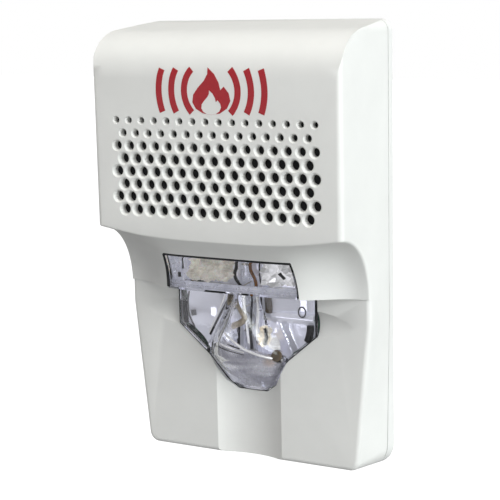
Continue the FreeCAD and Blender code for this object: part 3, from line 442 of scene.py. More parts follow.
# ---- materials ----
class Shader:
    """A principled material, with the links that its textures need."""

    def __init__(self, name):
        self.material = bpy.data.materials.new(name)
        self.material.use_nodes = True
        self.nodes = self.material.node_tree.nodes
        self.links = self.material.node_tree.links
        self.bsdf = self.nodes["Principled BSDF"]
        self.place = self.nodes.new("ShaderNodeTexCoord").outputs["Object"]

    def set(self, **values):
        for key, value in values.items():
            self.bsdf.inputs[key.replace("_", " ")].default_value = value
        return self

    def noise(self, size, detail=3.0, rough=0.55, stretch=(1, 1, 1), distortion=0.0):
        """Noise whose features are about a given size across."""
        mapping = self.nodes.new("ShaderNodeMapping")
        mapping.inputs["Scale"].default_value = stretch
        self.links.new(self.place, mapping.inputs["Vector"])
        node = self.nodes.new("ShaderNodeTexNoise")
        node.inputs["Scale"].default_value = 1 / size
        node.inputs["Detail"].default_value = detail
        node.inputs["Roughness"].default_value = rough
        node.inputs["Distortion"].default_value = distortion
        self.links.new(mapping.outputs["Vector"], node.inputs["Vector"])
        return node.outputs["Fac"]

    def cells(self, size, feature="F1"):
        node = self.nodes.new("ShaderNodeTexVoronoi")
        node.feature = feature
        node.inputs["Scale"].default_value = 1 / size
        self.links.new(self.place, node.inputs["Vector"])
        return node.outputs["Distance"]

    def waves(self, size, direction="X", distortion=0.0):
        node = self.nodes.new("ShaderNodeTexWave")
        node.bands_direction = direction
        node.inputs["Scale"].default_value = 0.314 / size
        node.inputs["Distortion"].default_value = distortion
        self.links.new(self.place, node.inputs["Vector"])
        return node.outputs["Fac"]

    def colours(self, factor, first, second, low=0.35, high=0.65):
        ramp = self.nodes.new("ShaderNodeValToRGB")
        ramp.color_ramp.elements[0].position = low
        ramp.color_ramp.elements[1].position = high
        ramp.color_ramp.elements[0].color = (*first, 1)
        ramp.color_ramp.elements[1].color = (*second, 1)
        self.links.new(factor, ramp.inputs["Fac"])
        self.links.new(ramp.outputs["Color"], self.bsdf.inputs["Base Color"])
        return self

    def patch(self, centre, radius, colour):
        """Lays a soft round patch, in millimetres, of another colour over the colour so far."""
        mapping = self.nodes.new("ShaderNodeMapping")
        mapping.inputs["Location"].default_value = [-value / radius for value in centre]
        mapping.inputs["Scale"].default_value = [1 / (radius * MM)] * 3
        self.links.new(self.place, mapping.inputs["Vector"])
        ball = self.nodes.new("ShaderNodeTexGradient")
        ball.gradient_type = "SPHERICAL"
        self.links.new(mapping.outputs["Vector"], ball.inputs["Vector"])
        mix = self.nodes.new("ShaderNodeMix")
        mix.data_type = "RGBA"
        mix.inputs["B"].default_value = (*colour, 1)
        sharp = self.nodes.new("ShaderNodeMapRange")
        sharp.inputs["From Max"].default_value = 0.5
        self.links.new(ball.outputs["Fac"], sharp.inputs["Value"])
        self.links.new(sharp.outputs["Result"], mix.inputs["Factor"])
        base = self.bsdf.inputs["Base Color"]
        self.links.new(base.links[0].from_socket, mix.inputs["A"])
        self.links.new(mix.outputs["Result"], base)
        return self

    def roughness(self, factor, low, high):
        node = self.nodes.new("ShaderNodeMapRange")
        node.inputs["From Min"].default_value = 0.3
        node.inputs["From Max"].default_value = 0.7
        node.inputs["To Min"].default_value = low
        node.inputs["To Max"].default_value = high
        self.links.new(factor, node.inputs["Value"])
        self.links.new(node.outputs["Result"], self.bsdf.inputs["Roughness"])
        return self

    def bump(self, factor, height, strength=1.0):
        node = self.nodes.new("ShaderNodeBump")
        node.inputs["Distance"].default_value = height
        node.inputs["Strength"].default_value = strength
        self.links.new(factor, node.inputs["Height"])
        self.links.new(node.outputs["Normal"], self.bsdf.inputs["Normal"])
        return self


def shade(colour, amount):
    return tuple(channel * amount for channel in colour)


def moulded(name, colour, grain=0.35 * MM, rough=(0.42, 0.56), height=0.006 * MM, mottle=0.975):
    """Moulded plastic: fine spark texture, slight mottling and uneven sheen."""
    shader = Shader(name)
    shader.colours(shader.noise(9 * MM, 4), shade(colour, mottle), colour)
    shader.roughness(shader.noise(2.5 * MM), *rough)
    shader.bump(shader.noise(grain, 2, 0.6), height)
    return shader


def cover_plastic():
    colour = tuple(bpy.context.scene.horn_strobe_cover.colour)
    shader = moulded("cover_plastic", colour)
    shader.set(IOR=1.5, Specular_IOR_Level=0.45)
    return shader.material


def plate_plastic():
    colour = tuple(bpy.context.scene.horn_strobe_cover.plate_colour)
    return moulded("plate_plastic", colour, rough=(0.5, 0.62)).material


def clear_lens():
    """Clear polycarbonate with a faint lilac cast and moulding ripples."""
    shader = Shader("clear_lens")
    tint = tuple(bpy.context.scene.horn_strobe_lens.tint)
    shader.set(Transmission_Weight=1.0, IOR=1.46)
    shader.colours(shader.noise(6 * MM), shade(tint, 0.99), tint)
    shader.roughness(shader.noise(3 * MM), 0.0, 0.012)
    shader.bump(shader.noise(2.2 * MM, 1), 0.02 * MM, 0.35)
    return shader.material


def tube_glass():
    shader = Shader("tube_glass")
    shader.set(Transmission_Weight=1.0, IOR=1.47)
    shader.colours(shader.noise(4 * MM), (0.96, 0.97, 0.97), (1, 1, 1))
    shader.roughness(shader.noise(2 * MM), 0.0, 0.04)
    shader.bump(shader.noise(3 * MM, 1), 0.01 * MM, 0.3)
    return shader.material


def metallised():
    """Vacuum-metallised plastic: slightly rippled, with a cool cast, brightened by a faint cool
    painted glow.
    """
    shader = Shader(METALLISED)
    tint = tuple(bpy.context.scene.horn_strobe_lens.mirror)
    # Painted glow: the emission brightens the coating though it is no lamp.
    shader.set(Metallic=0.6, Emission_Color=(0.86, 0.88, 1, 1), Emission_Strength=0.16)
    shader.colours(shader.noise(5 * MM), shade(tint, 0.9), tint)
    shader.roughness(shader.noise(1.8 * MM), 0.03, 0.12)
    shader.bump(shader.noise(1.6 * MM, 2), 0.03 * MM, 0.5)
    return shader.material


def metal(name, colour, rough=(0.22, 0.4), grain=(1, 1, 12), scratch=0.4 * MM):
    shader = Shader(name)
    shader.set(Metallic=1.0)
    shader.colours(shader.noise(1.2 * MM, 4), shade(colour, 0.86), colour)
    shader.roughness(shader.noise(0.7 * MM, 3, stretch=grain), *rough)
    shader.bump(shader.noise(scratch, 3, stretch=grain), 0.004 * MM, 0.7)
    return shader.material


def rubber(name, colour):
    shader = Shader(name)
    shader.colours(shader.noise(1.8 * MM, 4), shade(colour, 0.78), colour)
    shader.roughness(shader.noise(1.1 * MM), 0.45, 0.7)
    shader.bump(shader.noise(0.9 * MM, 4, 0.7), 0.12 * MM, 0.6)
    shader.set(Sheen_Weight=0.2)
    return shader.material


def black_mesh():
    """Fine woven acoustic cloth."""
    shader = Shader("black_mesh")
    shader.colours(shader.waves(0.28 * MM, "X"), (0.002, 0.002, 0.003), (0.010, 0.010, 0.012))
    shader.roughness(shader.noise(0.5 * MM), 0.75, 0.95)
    shader.bump(shader.waves(0.28 * MM, "Z"), 0.03 * MM)
    return shader.material


def board_laminate():
    """Green solder mask over copper tracks."""
    shader = Shader("board_laminate")
    shader.colours(shader.cells(2.4 * MM, "DISTANCE_TO_EDGE"), (0.02, 0.13, 0.05),
                   (0.012, 0.07, 0.03), 0.04, 0.09)
    shader.roughness(shader.noise(1.5 * MM), 0.22, 0.36)
    shader.bump(shader.cells(2.4 * MM, "DISTANCE_TO_EDGE"), 0.02 * MM, 0.4)
    shader.set(Coat_Weight=0.3)
    return shader.material


def printed_red():
    """Red pad-printed ink, thin enough to take the texture beneath it."""
    shader = Shader("printed_red")
    colour = tuple(bpy.context.scene.horn_strobe_cover.print_colour)
    shader.colours(shader.noise(0.8 * MM, 4), shade(colour, 0.9), colour)
    shader.roughness(shader.noise(1.2 * MM), 0.34, 0.48)
    shader.bump(shader.noise(0.35 * MM, 2, 0.6), 0.006 * MM)
    return shader.material


def wound_copper():
    shader = Shader("copper_wire")
    shader.set(Metallic=0.85)
    shader.colours(shader.waves(0.3 * MM, "Y"), (0.26, 0.08, 0.03), (0.62, 0.27, 0.12))
    shader.roughness(shader.noise(0.6 * MM), 0.22, 0.36)
    shader.bump(shader.waves(0.3 * MM, "Y"), 0.1 * MM)
    return shader.material


def glossy(name, colour, rough=(0.14, 0.28)):
    shader = Shader(name)
    shader.colours(shader.noise(2.2 * MM, 4), shade(colour, 0.82), colour)
    shader.roughness(shader.noise(1.4 * MM), *rough)
    shader.bump(shader.noise(0.8 * MM, 2), 0.01 * MM, 0.6)
    shader.set(Coat_Weight=0.25)
    return shader.material


def satin_lilac():
    """Frosted plastic with a lilac cast, brightened by a painted glow."""
    shader = Shader("satin_lilac")
    # Painted glow: the emission brightens these pieces though they are no lamps.
    shader.set(Metallic=0.5, Emission_Color=(0.84, 0.86, 1, 1), Emission_Strength=0.17)
    shader.colours(shader.noise(2.4 * MM, 3), (0.6, 0.61, 0.7), (0.9, 0.91, 0.98))
    shader.roughness(shader.noise(1.5 * MM), 0.22, 0.4)
    shader.bump(shader.noise(0.9 * MM, 2), 0.02 * MM, 0.5)
    return shader.material


def chin_metal():
    """Brushed lilac coating with streaks, a painted amber reflection on its right, a painted
    highlight patch and a faint painted glow.
    """
    shader = Shader("chin_metal")
    # Painted glow: the emission brightens the chin though it is no lamp.
    shader.set(Metallic=0.7, Emission_Color=(0.86, 0.86, 1, 1), Emission_Strength=0.13)
    streaks = shader.noise(5 * MM, 5, 0.6, stretch=(0.35, 0.35, 1.4), distortion=0.6)
    shader.colours(streaks, (0.3, 0.3, 0.36), (0.95, 0.95, 1.0), 0.4, 0.62)
    # Painted reflection: amber patch on the right of the chin.
    shader.patch((8.6, -16.5, -29.3), 3.4, (0.5, 0.29, 0.1))
    # Painted highlight: pale patch on the middle of the chin.
    shader.patch((-2.0, -18.5, -25.6), 2.8, (0.85, 0.85, 0.9))
    shader.roughness(shader.noise(1.6 * MM), 0.2, 0.36)
    shader.bump(streaks, 0.05 * MM, 0.5)
    return shader.material


def bright_foil(name="bright_foil", colour=(0.93, 0.93, 0.95)):
    shader = Shader(name)
    # Painted glow: the emission brightens the foil though it is no lamp.
    shader.set(Metallic=0.6, Emission_Color=(1, 1, 1, 1), Emission_Strength=0.26)
    shader.colours(shader.noise(1.6 * MM), shade(colour, 0.75), colour)
    shader.roughness(shader.noise(1.2 * MM), 0.08, 0.22)
    shader.bump(shader.noise(1.1 * MM), 0.05 * MM, 0.5)
    return shader.material


def boot_rubber():
    """Tan silicone, cloudy rather than solid, brightened by a painted glow."""
    shader = Shader("boot_rubber")
    shader.colours(shader.noise(2.2 * MM, 4), (0.5, 0.46, 0.38), (0.96, 0.94, 0.87), 0.36, 0.6)
    shader.roughness(shader.noise(1.1 * MM), 0.22, 0.42)
    shader.bump(shader.noise(0.9 * MM, 3), 0.1 * MM, 0.5)
    # Painted glow: the emission lightens the boot though it is no lamp.
    shader.set(Subsurface_Weight=0.25, Subsurface_Scale=1.5 * MM, Coat_Weight=0.4,
               Emission_Color=(0.9, 0.87, 0.78, 1), Emission_Strength=0.24)
    return shader.material


def satin_black(name):
    shader = Shader(name)
    shader.colours(shader.noise(1.4 * MM), (0.006, 0.006, 0.008), (0.014, 0.014, 0.017))
    shader.roughness(shader.noise(1.0 * MM), 0.4, 0.6)
    shader.bump(shader.noise(0.6 * MM), 0.01 * MM, 0.5)
    return shader.material


def ceramic(name):
    return moulded(name, (0.72, 0.70, 0.62), rough=(0.5, 0.7), height=0.01 * MM).material


FINISHES = {
    "terminal_plastic": lambda slot: moulded(slot, (0.03, 0.12, 0.05)).material,
    "zinc_plated_steel": lambda slot: metal(slot, (0.66, 0.66, 0.62)),
    "spring_bronze": lambda slot: metal(slot, (0.72, 0.46, 0.22)),
    "screw_steel": lambda slot: metal(slot, (0.58, 0.58, 0.57)),
    "black_mesh": lambda slot: black_mesh(),
    "black_plastic": lambda slot: satin_black(slot),
    "silicone_rubber": lambda slot: rubber(slot, (0.5, 0.5, 0.47)),
    "disc_brass": lambda slot: metal(slot, (0.76, 0.56, 0.25), grain=(1, 1, 1)),
    "piezo_ceramic": lambda slot: ceramic(slot),
    "board_laminate": lambda slot: board_laminate(),
    "gold_pad": lambda slot: metal(slot, (0.86, 0.66, 0.28), grain=(1, 1, 1)),
    "capacitor_sleeve": lambda slot: glossy(slot, (0.02, 0.025, 0.06)),
    "transformer_case": lambda slot: glossy(slot, (0.05, 0.05, 0.06), (0.2, 0.35)),
    "ferrite": lambda slot: glossy(slot, (0.035, 0.035, 0.038), (0.4, 0.6)),
    "copper_wire": lambda slot: wound_copper(),
    "component_black": lambda slot: glossy(slot, (0.022, 0.022, 0.024), (0.35, 0.5)),
    "smd_ceramic": lambda slot: glossy(slot, (0.5, 0.36, 0.22), (0.3, 0.45)),
    "switch_plastic": lambda slot: moulded(slot, (0.02, 0.05, 0.2)).material,
    "slider_plastic": lambda slot: moulded(slot, (0.75, 0.75, 0.72)).material,
    "jumper_plastic": lambda slot: moulded(slot, (0.02, 0.02, 0.022)).material,
}
MODELLED = ("front_cover", "base_plate", "strobe_lens", "reflector", "flash_tube", "tube_caps",
            "tube_boot", "trigger_wire")


def studio_pale():
    """Pale floor that reads as plain white and gives little light back."""
    shader = Shader("studio_pale")
    shader.colours(shader.noise(0.4, 2), (0.30, 0.30, 0.30), (0.32, 0.32, 0.32))
    shader.roughness(shader.noise(0.1), 0.8, 0.9)
    shader.set(Emission_Color=(1, 1, 1, 1))
    seen = shader.nodes.new("ShaderNodeLightPath")
    shader.links.new(seen.outputs["Is Camera Ray"], shader.bsdf.inputs["Emission Strength"])
    return shader.material


# ---- settings ----
class CoverSettings(bpy.types.PropertyGroup):
    """Colours of the mouldings and of the printed sign."""

    colour: FloatVectorProperty(name="Cover", description="Colour of the front cover",
                                subtype="COLOR", default=(0.83, 0.835, 0.815), min=0, max=1)
    plate_colour: FloatVectorProperty(name="Wall plate", description="Colour of the wall plate",
                                      subtype="COLOR", default=(0.82, 0.825, 0.81), min=0, max=1)
    print_colour: FloatVectorProperty(name="Print", description="Colour of the printed sign",
                                      subtype="COLOR", default=(0.42, 0.012, 0.02), min=0, max=1)
    print_height: FloatProperty(name="Print height", description="Height of the printed sign",
                                unit="LENGTH", default=11.4 * MM, min=4 * MM)


class LensSettings(bpy.types.PropertyGroup):
    """Wall of the lens, and tints of the strobe's clear and bright pieces."""

    tint: FloatVectorProperty(name="Lens", description="Tint of the clear lens",
                              subtype="COLOR", default=(0.98, 0.98, 1.0), min=0, max=1)
    mirror: FloatVectorProperty(name="Reflector", description="Tint of the bright coating",
                                subtype="COLOR", default=(0.88, 0.89, 0.98), min=0, max=1)
    wall: FloatProperty(name="Lens wall", description="Thickness of the clear lens",
                        unit="LENGTH", default=1.8 * MM, min=0.6 * MM, max=2.4 * MM)


class StudioSettings(bpy.types.PropertyGroup):
    """Camera and lights."""

    azimuth: FloatProperty(name="Azimuth", description="Camera's turn to the right of the front",
                           subtype="ANGLE", default=math.radians(29.43))
    elevation: FloatProperty(name="Elevation", description="Camera's angle above the horizon",
                             subtype="ANGLE", default=math.radians(10.07))
    roll: FloatProperty(name="Roll", description="Camera's roll about its own axis",
                        subtype="ANGLE", default=math.radians(-1.26))
    lens: FloatProperty(name="Focal length", description="Focal length in millimetres",
                        default=103.7, min=20)
    brightness: FloatProperty(name="Brightness", description="Strength of all lights",
                              default=1.0, min=0)


# ---- pieces ----
class HORNSTROBE_OT_cover(bpy.types.Operator):
    """Front cover with its grille, hood and trough"""

    bl_idname = "hornstrobe.cover"
    bl_label = "Front cover"

    def execute(self, context):
        piece = merged_copy("front_cover", "cover_moulding")
        smoothed(piece)
        finish_piece(piece, FRONT_UNIT, "cover_plastic", cover_plastic(), "front_cover")
        return {"FINISHED"}


class HORNSTROBE_OT_plate(bpy.types.Operator):
    """Wall plate behind the cover"""

    bl_idname = "hornstrobe.plate"
    bl_label = "Wall plate"

    def execute(self, context):
        piece = merged_copy("base_plate", "wall_plate_moulding")
        smoothed(piece)
        finish_piece(piece, WALL_PLATE, "plate_plastic", plate_plastic(), "base_plate")
        return {"FINISHED"}


class HORNSTROBE_OT_sign(bpy.types.Operator):
    """Printed flame with sound waves on the front of the cover"""

    bl_idname = "hornstrobe.sign"
    bl_label = "Printed sign"

    def execute(self, context):
        tall = context.scene.horn_strobe_cover.print_height / MM
        splines = [self.flame(tall), self.flame(tall * FLAME_CORE)]
        for radius in SIGN_RADII:
            for side in (1, -1):
                splines.append(self.wave(side, radius * tall, tall))
        piece = filled_outline("printed_sign", splines)
        piece.rotation_euler = (math.pi / 2, 0, 0)
        piece.location = (0, 0, SIGN_FOOT)
        settle(piece)
        low, high = SIGN_FOOT, SIGN_FOOT + tall * MM
        for row in range(1, SIGN_ROWS):
            cut_across(piece, (0, 0, low + (high - low) * row / SIGN_ROWS), (0, 0, 1))
        skin = skin_of("front_cover")
        for vertex in piece.data.vertices:
            vertex.co.y = front_of(skin, vertex.co.x, vertex.co.z) - INK
        solid = piece.modifiers.new("ink", "SOLIDIFY")
        solid.thickness = INK
        solid.offset = 0
        apply_modifiers(piece)
        finish_piece(piece, FRONT_UNIT, None, printed_red())
        return {"FINISHED"}

    def flame(self, tall):
        """Outline of a flame that stands on the foot of the sign."""
        right = [(0.0, 0.0), (0.18, 0.03), (0.33, 0.14), (0.4, 0.3), (0.37, 0.46), (0.27, 0.6),
                 (0.2, 0.52), (0.17, 0.68), (0.08, 0.86), (-0.06, 1.0)]
        left = [(-0.06, 0.86), (-0.13, 0.72), (-0.26, 0.57), (-0.36, 0.42), (-0.38, 0.26),
                (-0.31, 0.12), (-0.17, 0.03)]
        return [(FLAME_WIDE * x * tall, z * tall) for x, z in right + left]

    def wave(self, side, radius, tall):
        """Outline of one arc of the sound, centred on the flame."""
        span = math.asin(min(1, SIGN_REACH * tall / radius))
        outline = []
        for rim, start in ((SIGN_STROKE * tall / 2, -span), (-SIGN_STROKE * tall / 2, span)):
            outline += [(side * (radius + rim) * math.cos(angle),
                         tall / 2 + (radius + rim) * math.sin(angle))
                        for angle in fanned(start, -start, 14)]
        return outline


class HORNSTROBE_OT_lens(bpy.types.Operator):
    """Clear lens with its bar, wings and prow, and the painted shade line in the gap round it"""

    bl_idname = "hornstrobe.lens"
    bl_label = "Lens"

    def execute(self, context):
        skin = skin_of("strobe_lens")
        heights = fanned(BAR_TOP, BAR_FOOT, BAR_ROWS) + fanned(BAR_FOOT - STEP_DOWN, LENS_FOOT,
                                                               WING_ROWS)

        def place(across, down):
            row = round((1 - down) * (len(heights) - 1))
            z = heights[row]
            if row <= BAR_ROWS:
                half = BAR_HALF[0] + (BAR_HALF[1] - BAR_HALF[0]) * row / BAR_ROWS
                x = half * (2 * across - 1)
                beside = max(-BAR_EDGE, min(BAR_EDGE, x))
                level = min(max(z, BAR_FOOT + BAR_LIP), BAR_REST)
                return Vector((x, front_of(skin, beside * MM, level * MM) / MM, z))
            x = lens_half(z) * (2 * across - 1)
            return Vector((x, -max(wing_front(z), prow_front(x, z, 0)), z))

        lens = draped_grid("lens_moulding", LENS_COLUMNS, len(heights) - 1, place)
        walled(lens, context.scene.horn_strobe_lens.wall)
        softened(lens, LENS_ROUND * MM, math.radians(50), 2)
        smoothed(lens, math.radians(32))
        finish_piece(lens, FRONT_UNIT, "clear_lens", clear_lens(), "strobe_lens")
        self.seams(skin)
        return {"FINISHED"}

    def seams(self, skin):
        """Painted shade: dark lines in the gap between the lens and the cover."""
        dark = satin_black("gap_shade_black")
        top = [(x, front_of(skin, x * MM, BAR_REST * MM) / MM + 0.35, GAP_SHADE_TOP)
               for x in fanned(-18.2, 18.2, 16)]
        left = [(-18.35 - 0.045 * row,
                 front_of(skin, -BAR_EDGE * MM, (BAR_REST - row) * MM) / MM + 0.3,
                 GAP_SHADE_TOP - row) for row in range(10)]
        right = [(-x, y, z) for x, y, z in left]
        edge = WING_HALF - 0.1
        wing = [(edge, GAP_SHADE_FRONT, -11.2), (edge, GAP_SHADE_FRONT, WING_FOOT),
                (SHOULDER_HALF, GAP_SHADE_FRONT, SHOULDER), (CHIN_HALF, -11.0, CHIN),
                (TIP_HALF, -10.8, TIP + 0.1)]
        sweep = wing + [(-x, y, z) for x, y, z in reversed(wing)]
        # Painted shade: the dark line is thicker on the left than on the right.
        for name, points, thick in (("gap_shade_top", top, 0.36), ("gap_shade_left", left, 0.48),
                                    ("gap_shade_right", right, 0.2), ("gap_shade_low", sweep, 0.15)):
            line = swept(name, points, thick * MM, smooth=False)
            finish_piece(line, FRONT_UNIT, BLACK, dark)


class HORNSTROBE_OT_reflector(bpy.types.Operator):
    """Bright reflector with its dishes, trough, flutes and chin"""

    bl_idname = "hornstrobe.reflector"
    bl_label = "Reflector"

    def execute(self, context):
        def place(across, down):
            z = REFLECTOR_FOOT + (REFLECTOR_TOP - REFLECTOR_FOOT) * down
            x = min(REFLECTOR_HALF, lens_half(z) - REFLECTOR_GAP) * (2 * across - 1)
            return Vector((x, -reflector_front(x, z), z))

        def chin_place(across, down):
            side = 2 * across - 1
            top = CHIN_RIDGE - CHIN_SLANT * CHIN_WIDE * side
            z = CHIN_FOOT + (top - CHIN_FOOT) * down
            x = max(0.5, prow_half(z) - CHIN_SHRINK) * math.sin(side * math.pi / 2)
            return Vector((x, -prow_front(x, z, CHIN_SHRINK), z))

        def dome_place(across, down):
            turn = (across - 0.5) * math.pi
            rise = down * math.pi / 2
            return Vector(DOME) + Vector((DOME_WIDE * math.sin(turn) * math.cos(rise),
                                          -DOME_DEEP * math.cos(turn) * math.cos(rise),
                                          DOME_TALL * math.sin(rise)))

        skin = skin_of("strobe_lens")
        behind = context.scene.horn_strobe_lens.wall / MM + 0.25

        def web_place(across, down):
            x = (2 * across - 1) * 18.0
            z = -10.3 + 2.0 * down
            return Vector((x, front_of(skin, x * MM, z * MM) / MM + behind, z))

        thin_skin("reflector_bright", (150, 142), place, 0.5, METALLISED, metallised(),
                  "reflector", angle=math.radians(30))
        thin_skin("chin_reflector", (60, 48), chin_place, 0.3, METALLISED, chin_metal(),
                  angle=math.radians(35))
        thin_skin("side_dome", (28, 20), dome_place, 0.25, METALLISED, satin_lilac())
        # Painted light: a glowing lilac strip behind the clear web stands in for the lit edge of
        # the clear plastic.
        thin_skin("web_glow_strip", (40, 4), web_place, 0.2, METALLISED, satin_lilac())
        return {"FINISHED"}


class HORNSTROBE_OT_strobe(bpy.types.Operator):
    """Flash tube, boot, leads, small fittings, and painted shade and highlight strands inside the
    lens
    """

    bl_idname = "hornstrobe.strobe"
    bl_label = "Strobe"

    def execute(self, context):
        self.tube()
        self.boot()
        amber = glossy("amber_wire", (0.36, 0.13, 0.02))
        finish_piece(swept("trigger_lead", LEAD, 0.42 * MM), FRONT_UNIT, "amber_wire", amber,
                     "trigger_wire")
        strands([("tan_sleeve", SLEEVE, 0.85)], "tan_rubber",
                rubber("tan_sleeving", (0.56, 0.47, 0.34)))
        # Dark finish for the painted shade lines, the boot's painted gap and shadow lines, and the
        # eyelet ring.
        dark = satin_black("dark_line_black")
        strands([BOOT_GAP_SHADE], BLACK, dark)
        # Painted highlights: each bright strand gets its own glowing foil finish.
        for line in PAINTED_HIGHLIGHTS:
            strands([line], METALLISED, bright_foil(line[0] + "_metal"))
        strands([BOOT_SHADOW], BLACK, dark)
        ring = swept("eyelet_ring", ring_points(EYELET, EYELET_WIDE, EYELET_TALL),
                     EYELET_WIRE * MM, closed=True)
        finish_piece(ring, FRONT_UNIT, BLACK, dark)
        strands(SHADE_LINES, BLACK, dark)
        strands(RESIN, "amber_wire", glossy("brown_resin", (0.13, 0.095, 0.06)))
        self.panels()
        self.foil("bright_tab", (5.2, 14.6), (-9.0, -1.8), -13.6, 1.5, bright_foil())
        self.foil("bent_foil", (3.8, 7.0), (-25.0, -20.4), -14.2, 1.0,
                  bright_foil("foil_amber", (0.72, 0.6, 0.36)))
        return {"FINISHED"}

    def panels(self):
        """Fluted cheek and lilac strip behind the window bar."""
        skin = skin_of("strobe_lens")

        def flute_place(across, down):
            z = -9.9 + 8.3 * down
            deep = -front_of(skin, -18.0 * MM, z * MM) / MM - 2.1 - PANEL_BACK
            return Vector((-18.0 + 0.35 * math.cos(8 * math.pi * across),
                           -PANEL_BACK - deep * across, z))

        def strip_place(across, down):
            x = -2.6 + 7.2 * across
            return Vector((x, -PANEL_BACK - 0.25 * math.cos(x), -10.0 + 8.8 * down))

        lilac = satin_lilac()
        for name, place, columns in (("fluted_panel", flute_place, 60),
                                     ("lilac_panel", strip_place, 20)):
            thin_skin(name, (columns, 10), place, 0.2, METALLISED, lilac)

    def foil(self, name, across, tall, depth, crumple, material):
        """Crumpled bright tab, with flat creased faces."""
        draws = random.Random(FOIL_SEED)

        def near(ends, share):
            return ends[0] + (ends[1] - ends[0]) * share + draws.uniform(-FOIL_JITTER, FOIL_JITTER)

        def place(share, down):
            return Vector((near(across, share), depth + draws.uniform(-crumple, crumple),
                           near(tall, down)))

        piece = draped_grid(name, 8, 6, place)
        walled(piece, 0.15 * MM)
        finish_piece(piece, FRONT_UNIT, METALLISED, material)

    def tube(self):
        low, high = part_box("flash_tube")
        radius = (high.x - low.x) / 2
        tall = high.z - low.z
        centre = Vector((0, (low.y + high.y) / 2, (low.z + high.z) / 2))
        nothing_selected()
        bpy.ops.mesh.primitive_cylinder_add(vertices=40, radius=radius, depth=tall,
                                            end_fill_type="NOTHING", location=centre)
        glass = bpy.context.object
        glass.name = "tube_of_glass"
        settle(glass)
        walled(glass, TUBE_WALL * MM)
        smoothed(glass)
        finish_piece(glass, FRONT_UNIT, "tube_glass", tube_glass(), "flash_tube")
        caps = merged_copy("tube_caps", "tube_end_caps")
        smoothed(caps)
        finish_piece(caps, FRONT_UNIT, TUBE_METAL, metal(TUBE_METAL, (0.7, 0.68, 0.64)),
                     "tube_caps")
        rod = swept("tube_electrodes", [centre + Vector((0, 0, reach * tall))
                                        for reach in (-0.49, -0.2)], ELECTRODE * MM, metres=True)
        finish_piece(rod, FRONT_UNIT, TUBE_METAL, satin_black("electrode_dark"))
        out = radius * BAND_LIFT
        band = [centre + Vector((out * math.cos(2 * math.pi * turn),
                                 out * math.sin(2 * math.pi * turn),
                                 tall * (turn * BAND_PITCH - BAND_FOOT)))
                for turn in fanned(0, BAND_TURNS, 90)]
        coil = swept("trigger_band", band, BAND_WIRE * MM, metres=True)
        finish_piece(coil, FRONT_UNIT, TUBE_METAL, metal("band_wire", (0.55, 0.5, 0.42)))

    def boot(self):
        """Soft, wrinkled boot with a little shine, as a swollen and creased block."""
        low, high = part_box("tube_boot")
        nothing_selected()
        bpy.ops.mesh.primitive_cube_add(size=1, location=(low + high) / 2)
        boot = bpy.context.object
        boot.name = "boot_of_rubber"
        boot.scale = (high - low) * BOOT_FILL
        settle(boot)
        bpy.ops.object.mode_set(mode="EDIT")
        bpy.ops.mesh.select_all(action="SELECT")
        bpy.ops.mesh.subdivide(number_cuts=5)
        bpy.ops.object.mode_set(mode="OBJECT")
        soft = boot.modifiers.new("soft", "SUBSURF")
        soft.levels = soft.render_levels = 3
        clouds = bpy.data.textures.new("wrinkles", "CLOUDS")
        clouds.noise_scale = BOOT_WRINKLE
        clouds.noise_depth = 2
        creased = boot.modifiers.new("creased", "DISPLACE")
        creased.texture = clouds
        creased.texture_coords = "LOCAL"
        creased.strength = BOOT_SWELL
        creased.mid_level = 0.5
        apply_modifiers(boot)
        smoothed(boot, math.radians(60))
        finish_piece(boot, FRONT_UNIT, "tan_rubber", boot_rubber(), "tube_boot")


class HORNSTROBE_OT_fittings(bpy.types.Operator):
    """Finishes for the board, the horn, the terminals and all other carried pieces"""

    bl_idname = "hornstrobe.fittings"
    bl_label = "Fittings"

    def execute(self, context):
        made = {}
        for part in frame["record"]["subparts"]:
            if part["node"] in MODELLED:
                continue
            slot = part["material_slot"]
            if slot not in made:
                made[slot] = FINISHES[slot](slot)
            data = NODES[part["node"]].data
            data.materials.clear()
            data.materials.append(made[slot])
        return {"FINISHED"}


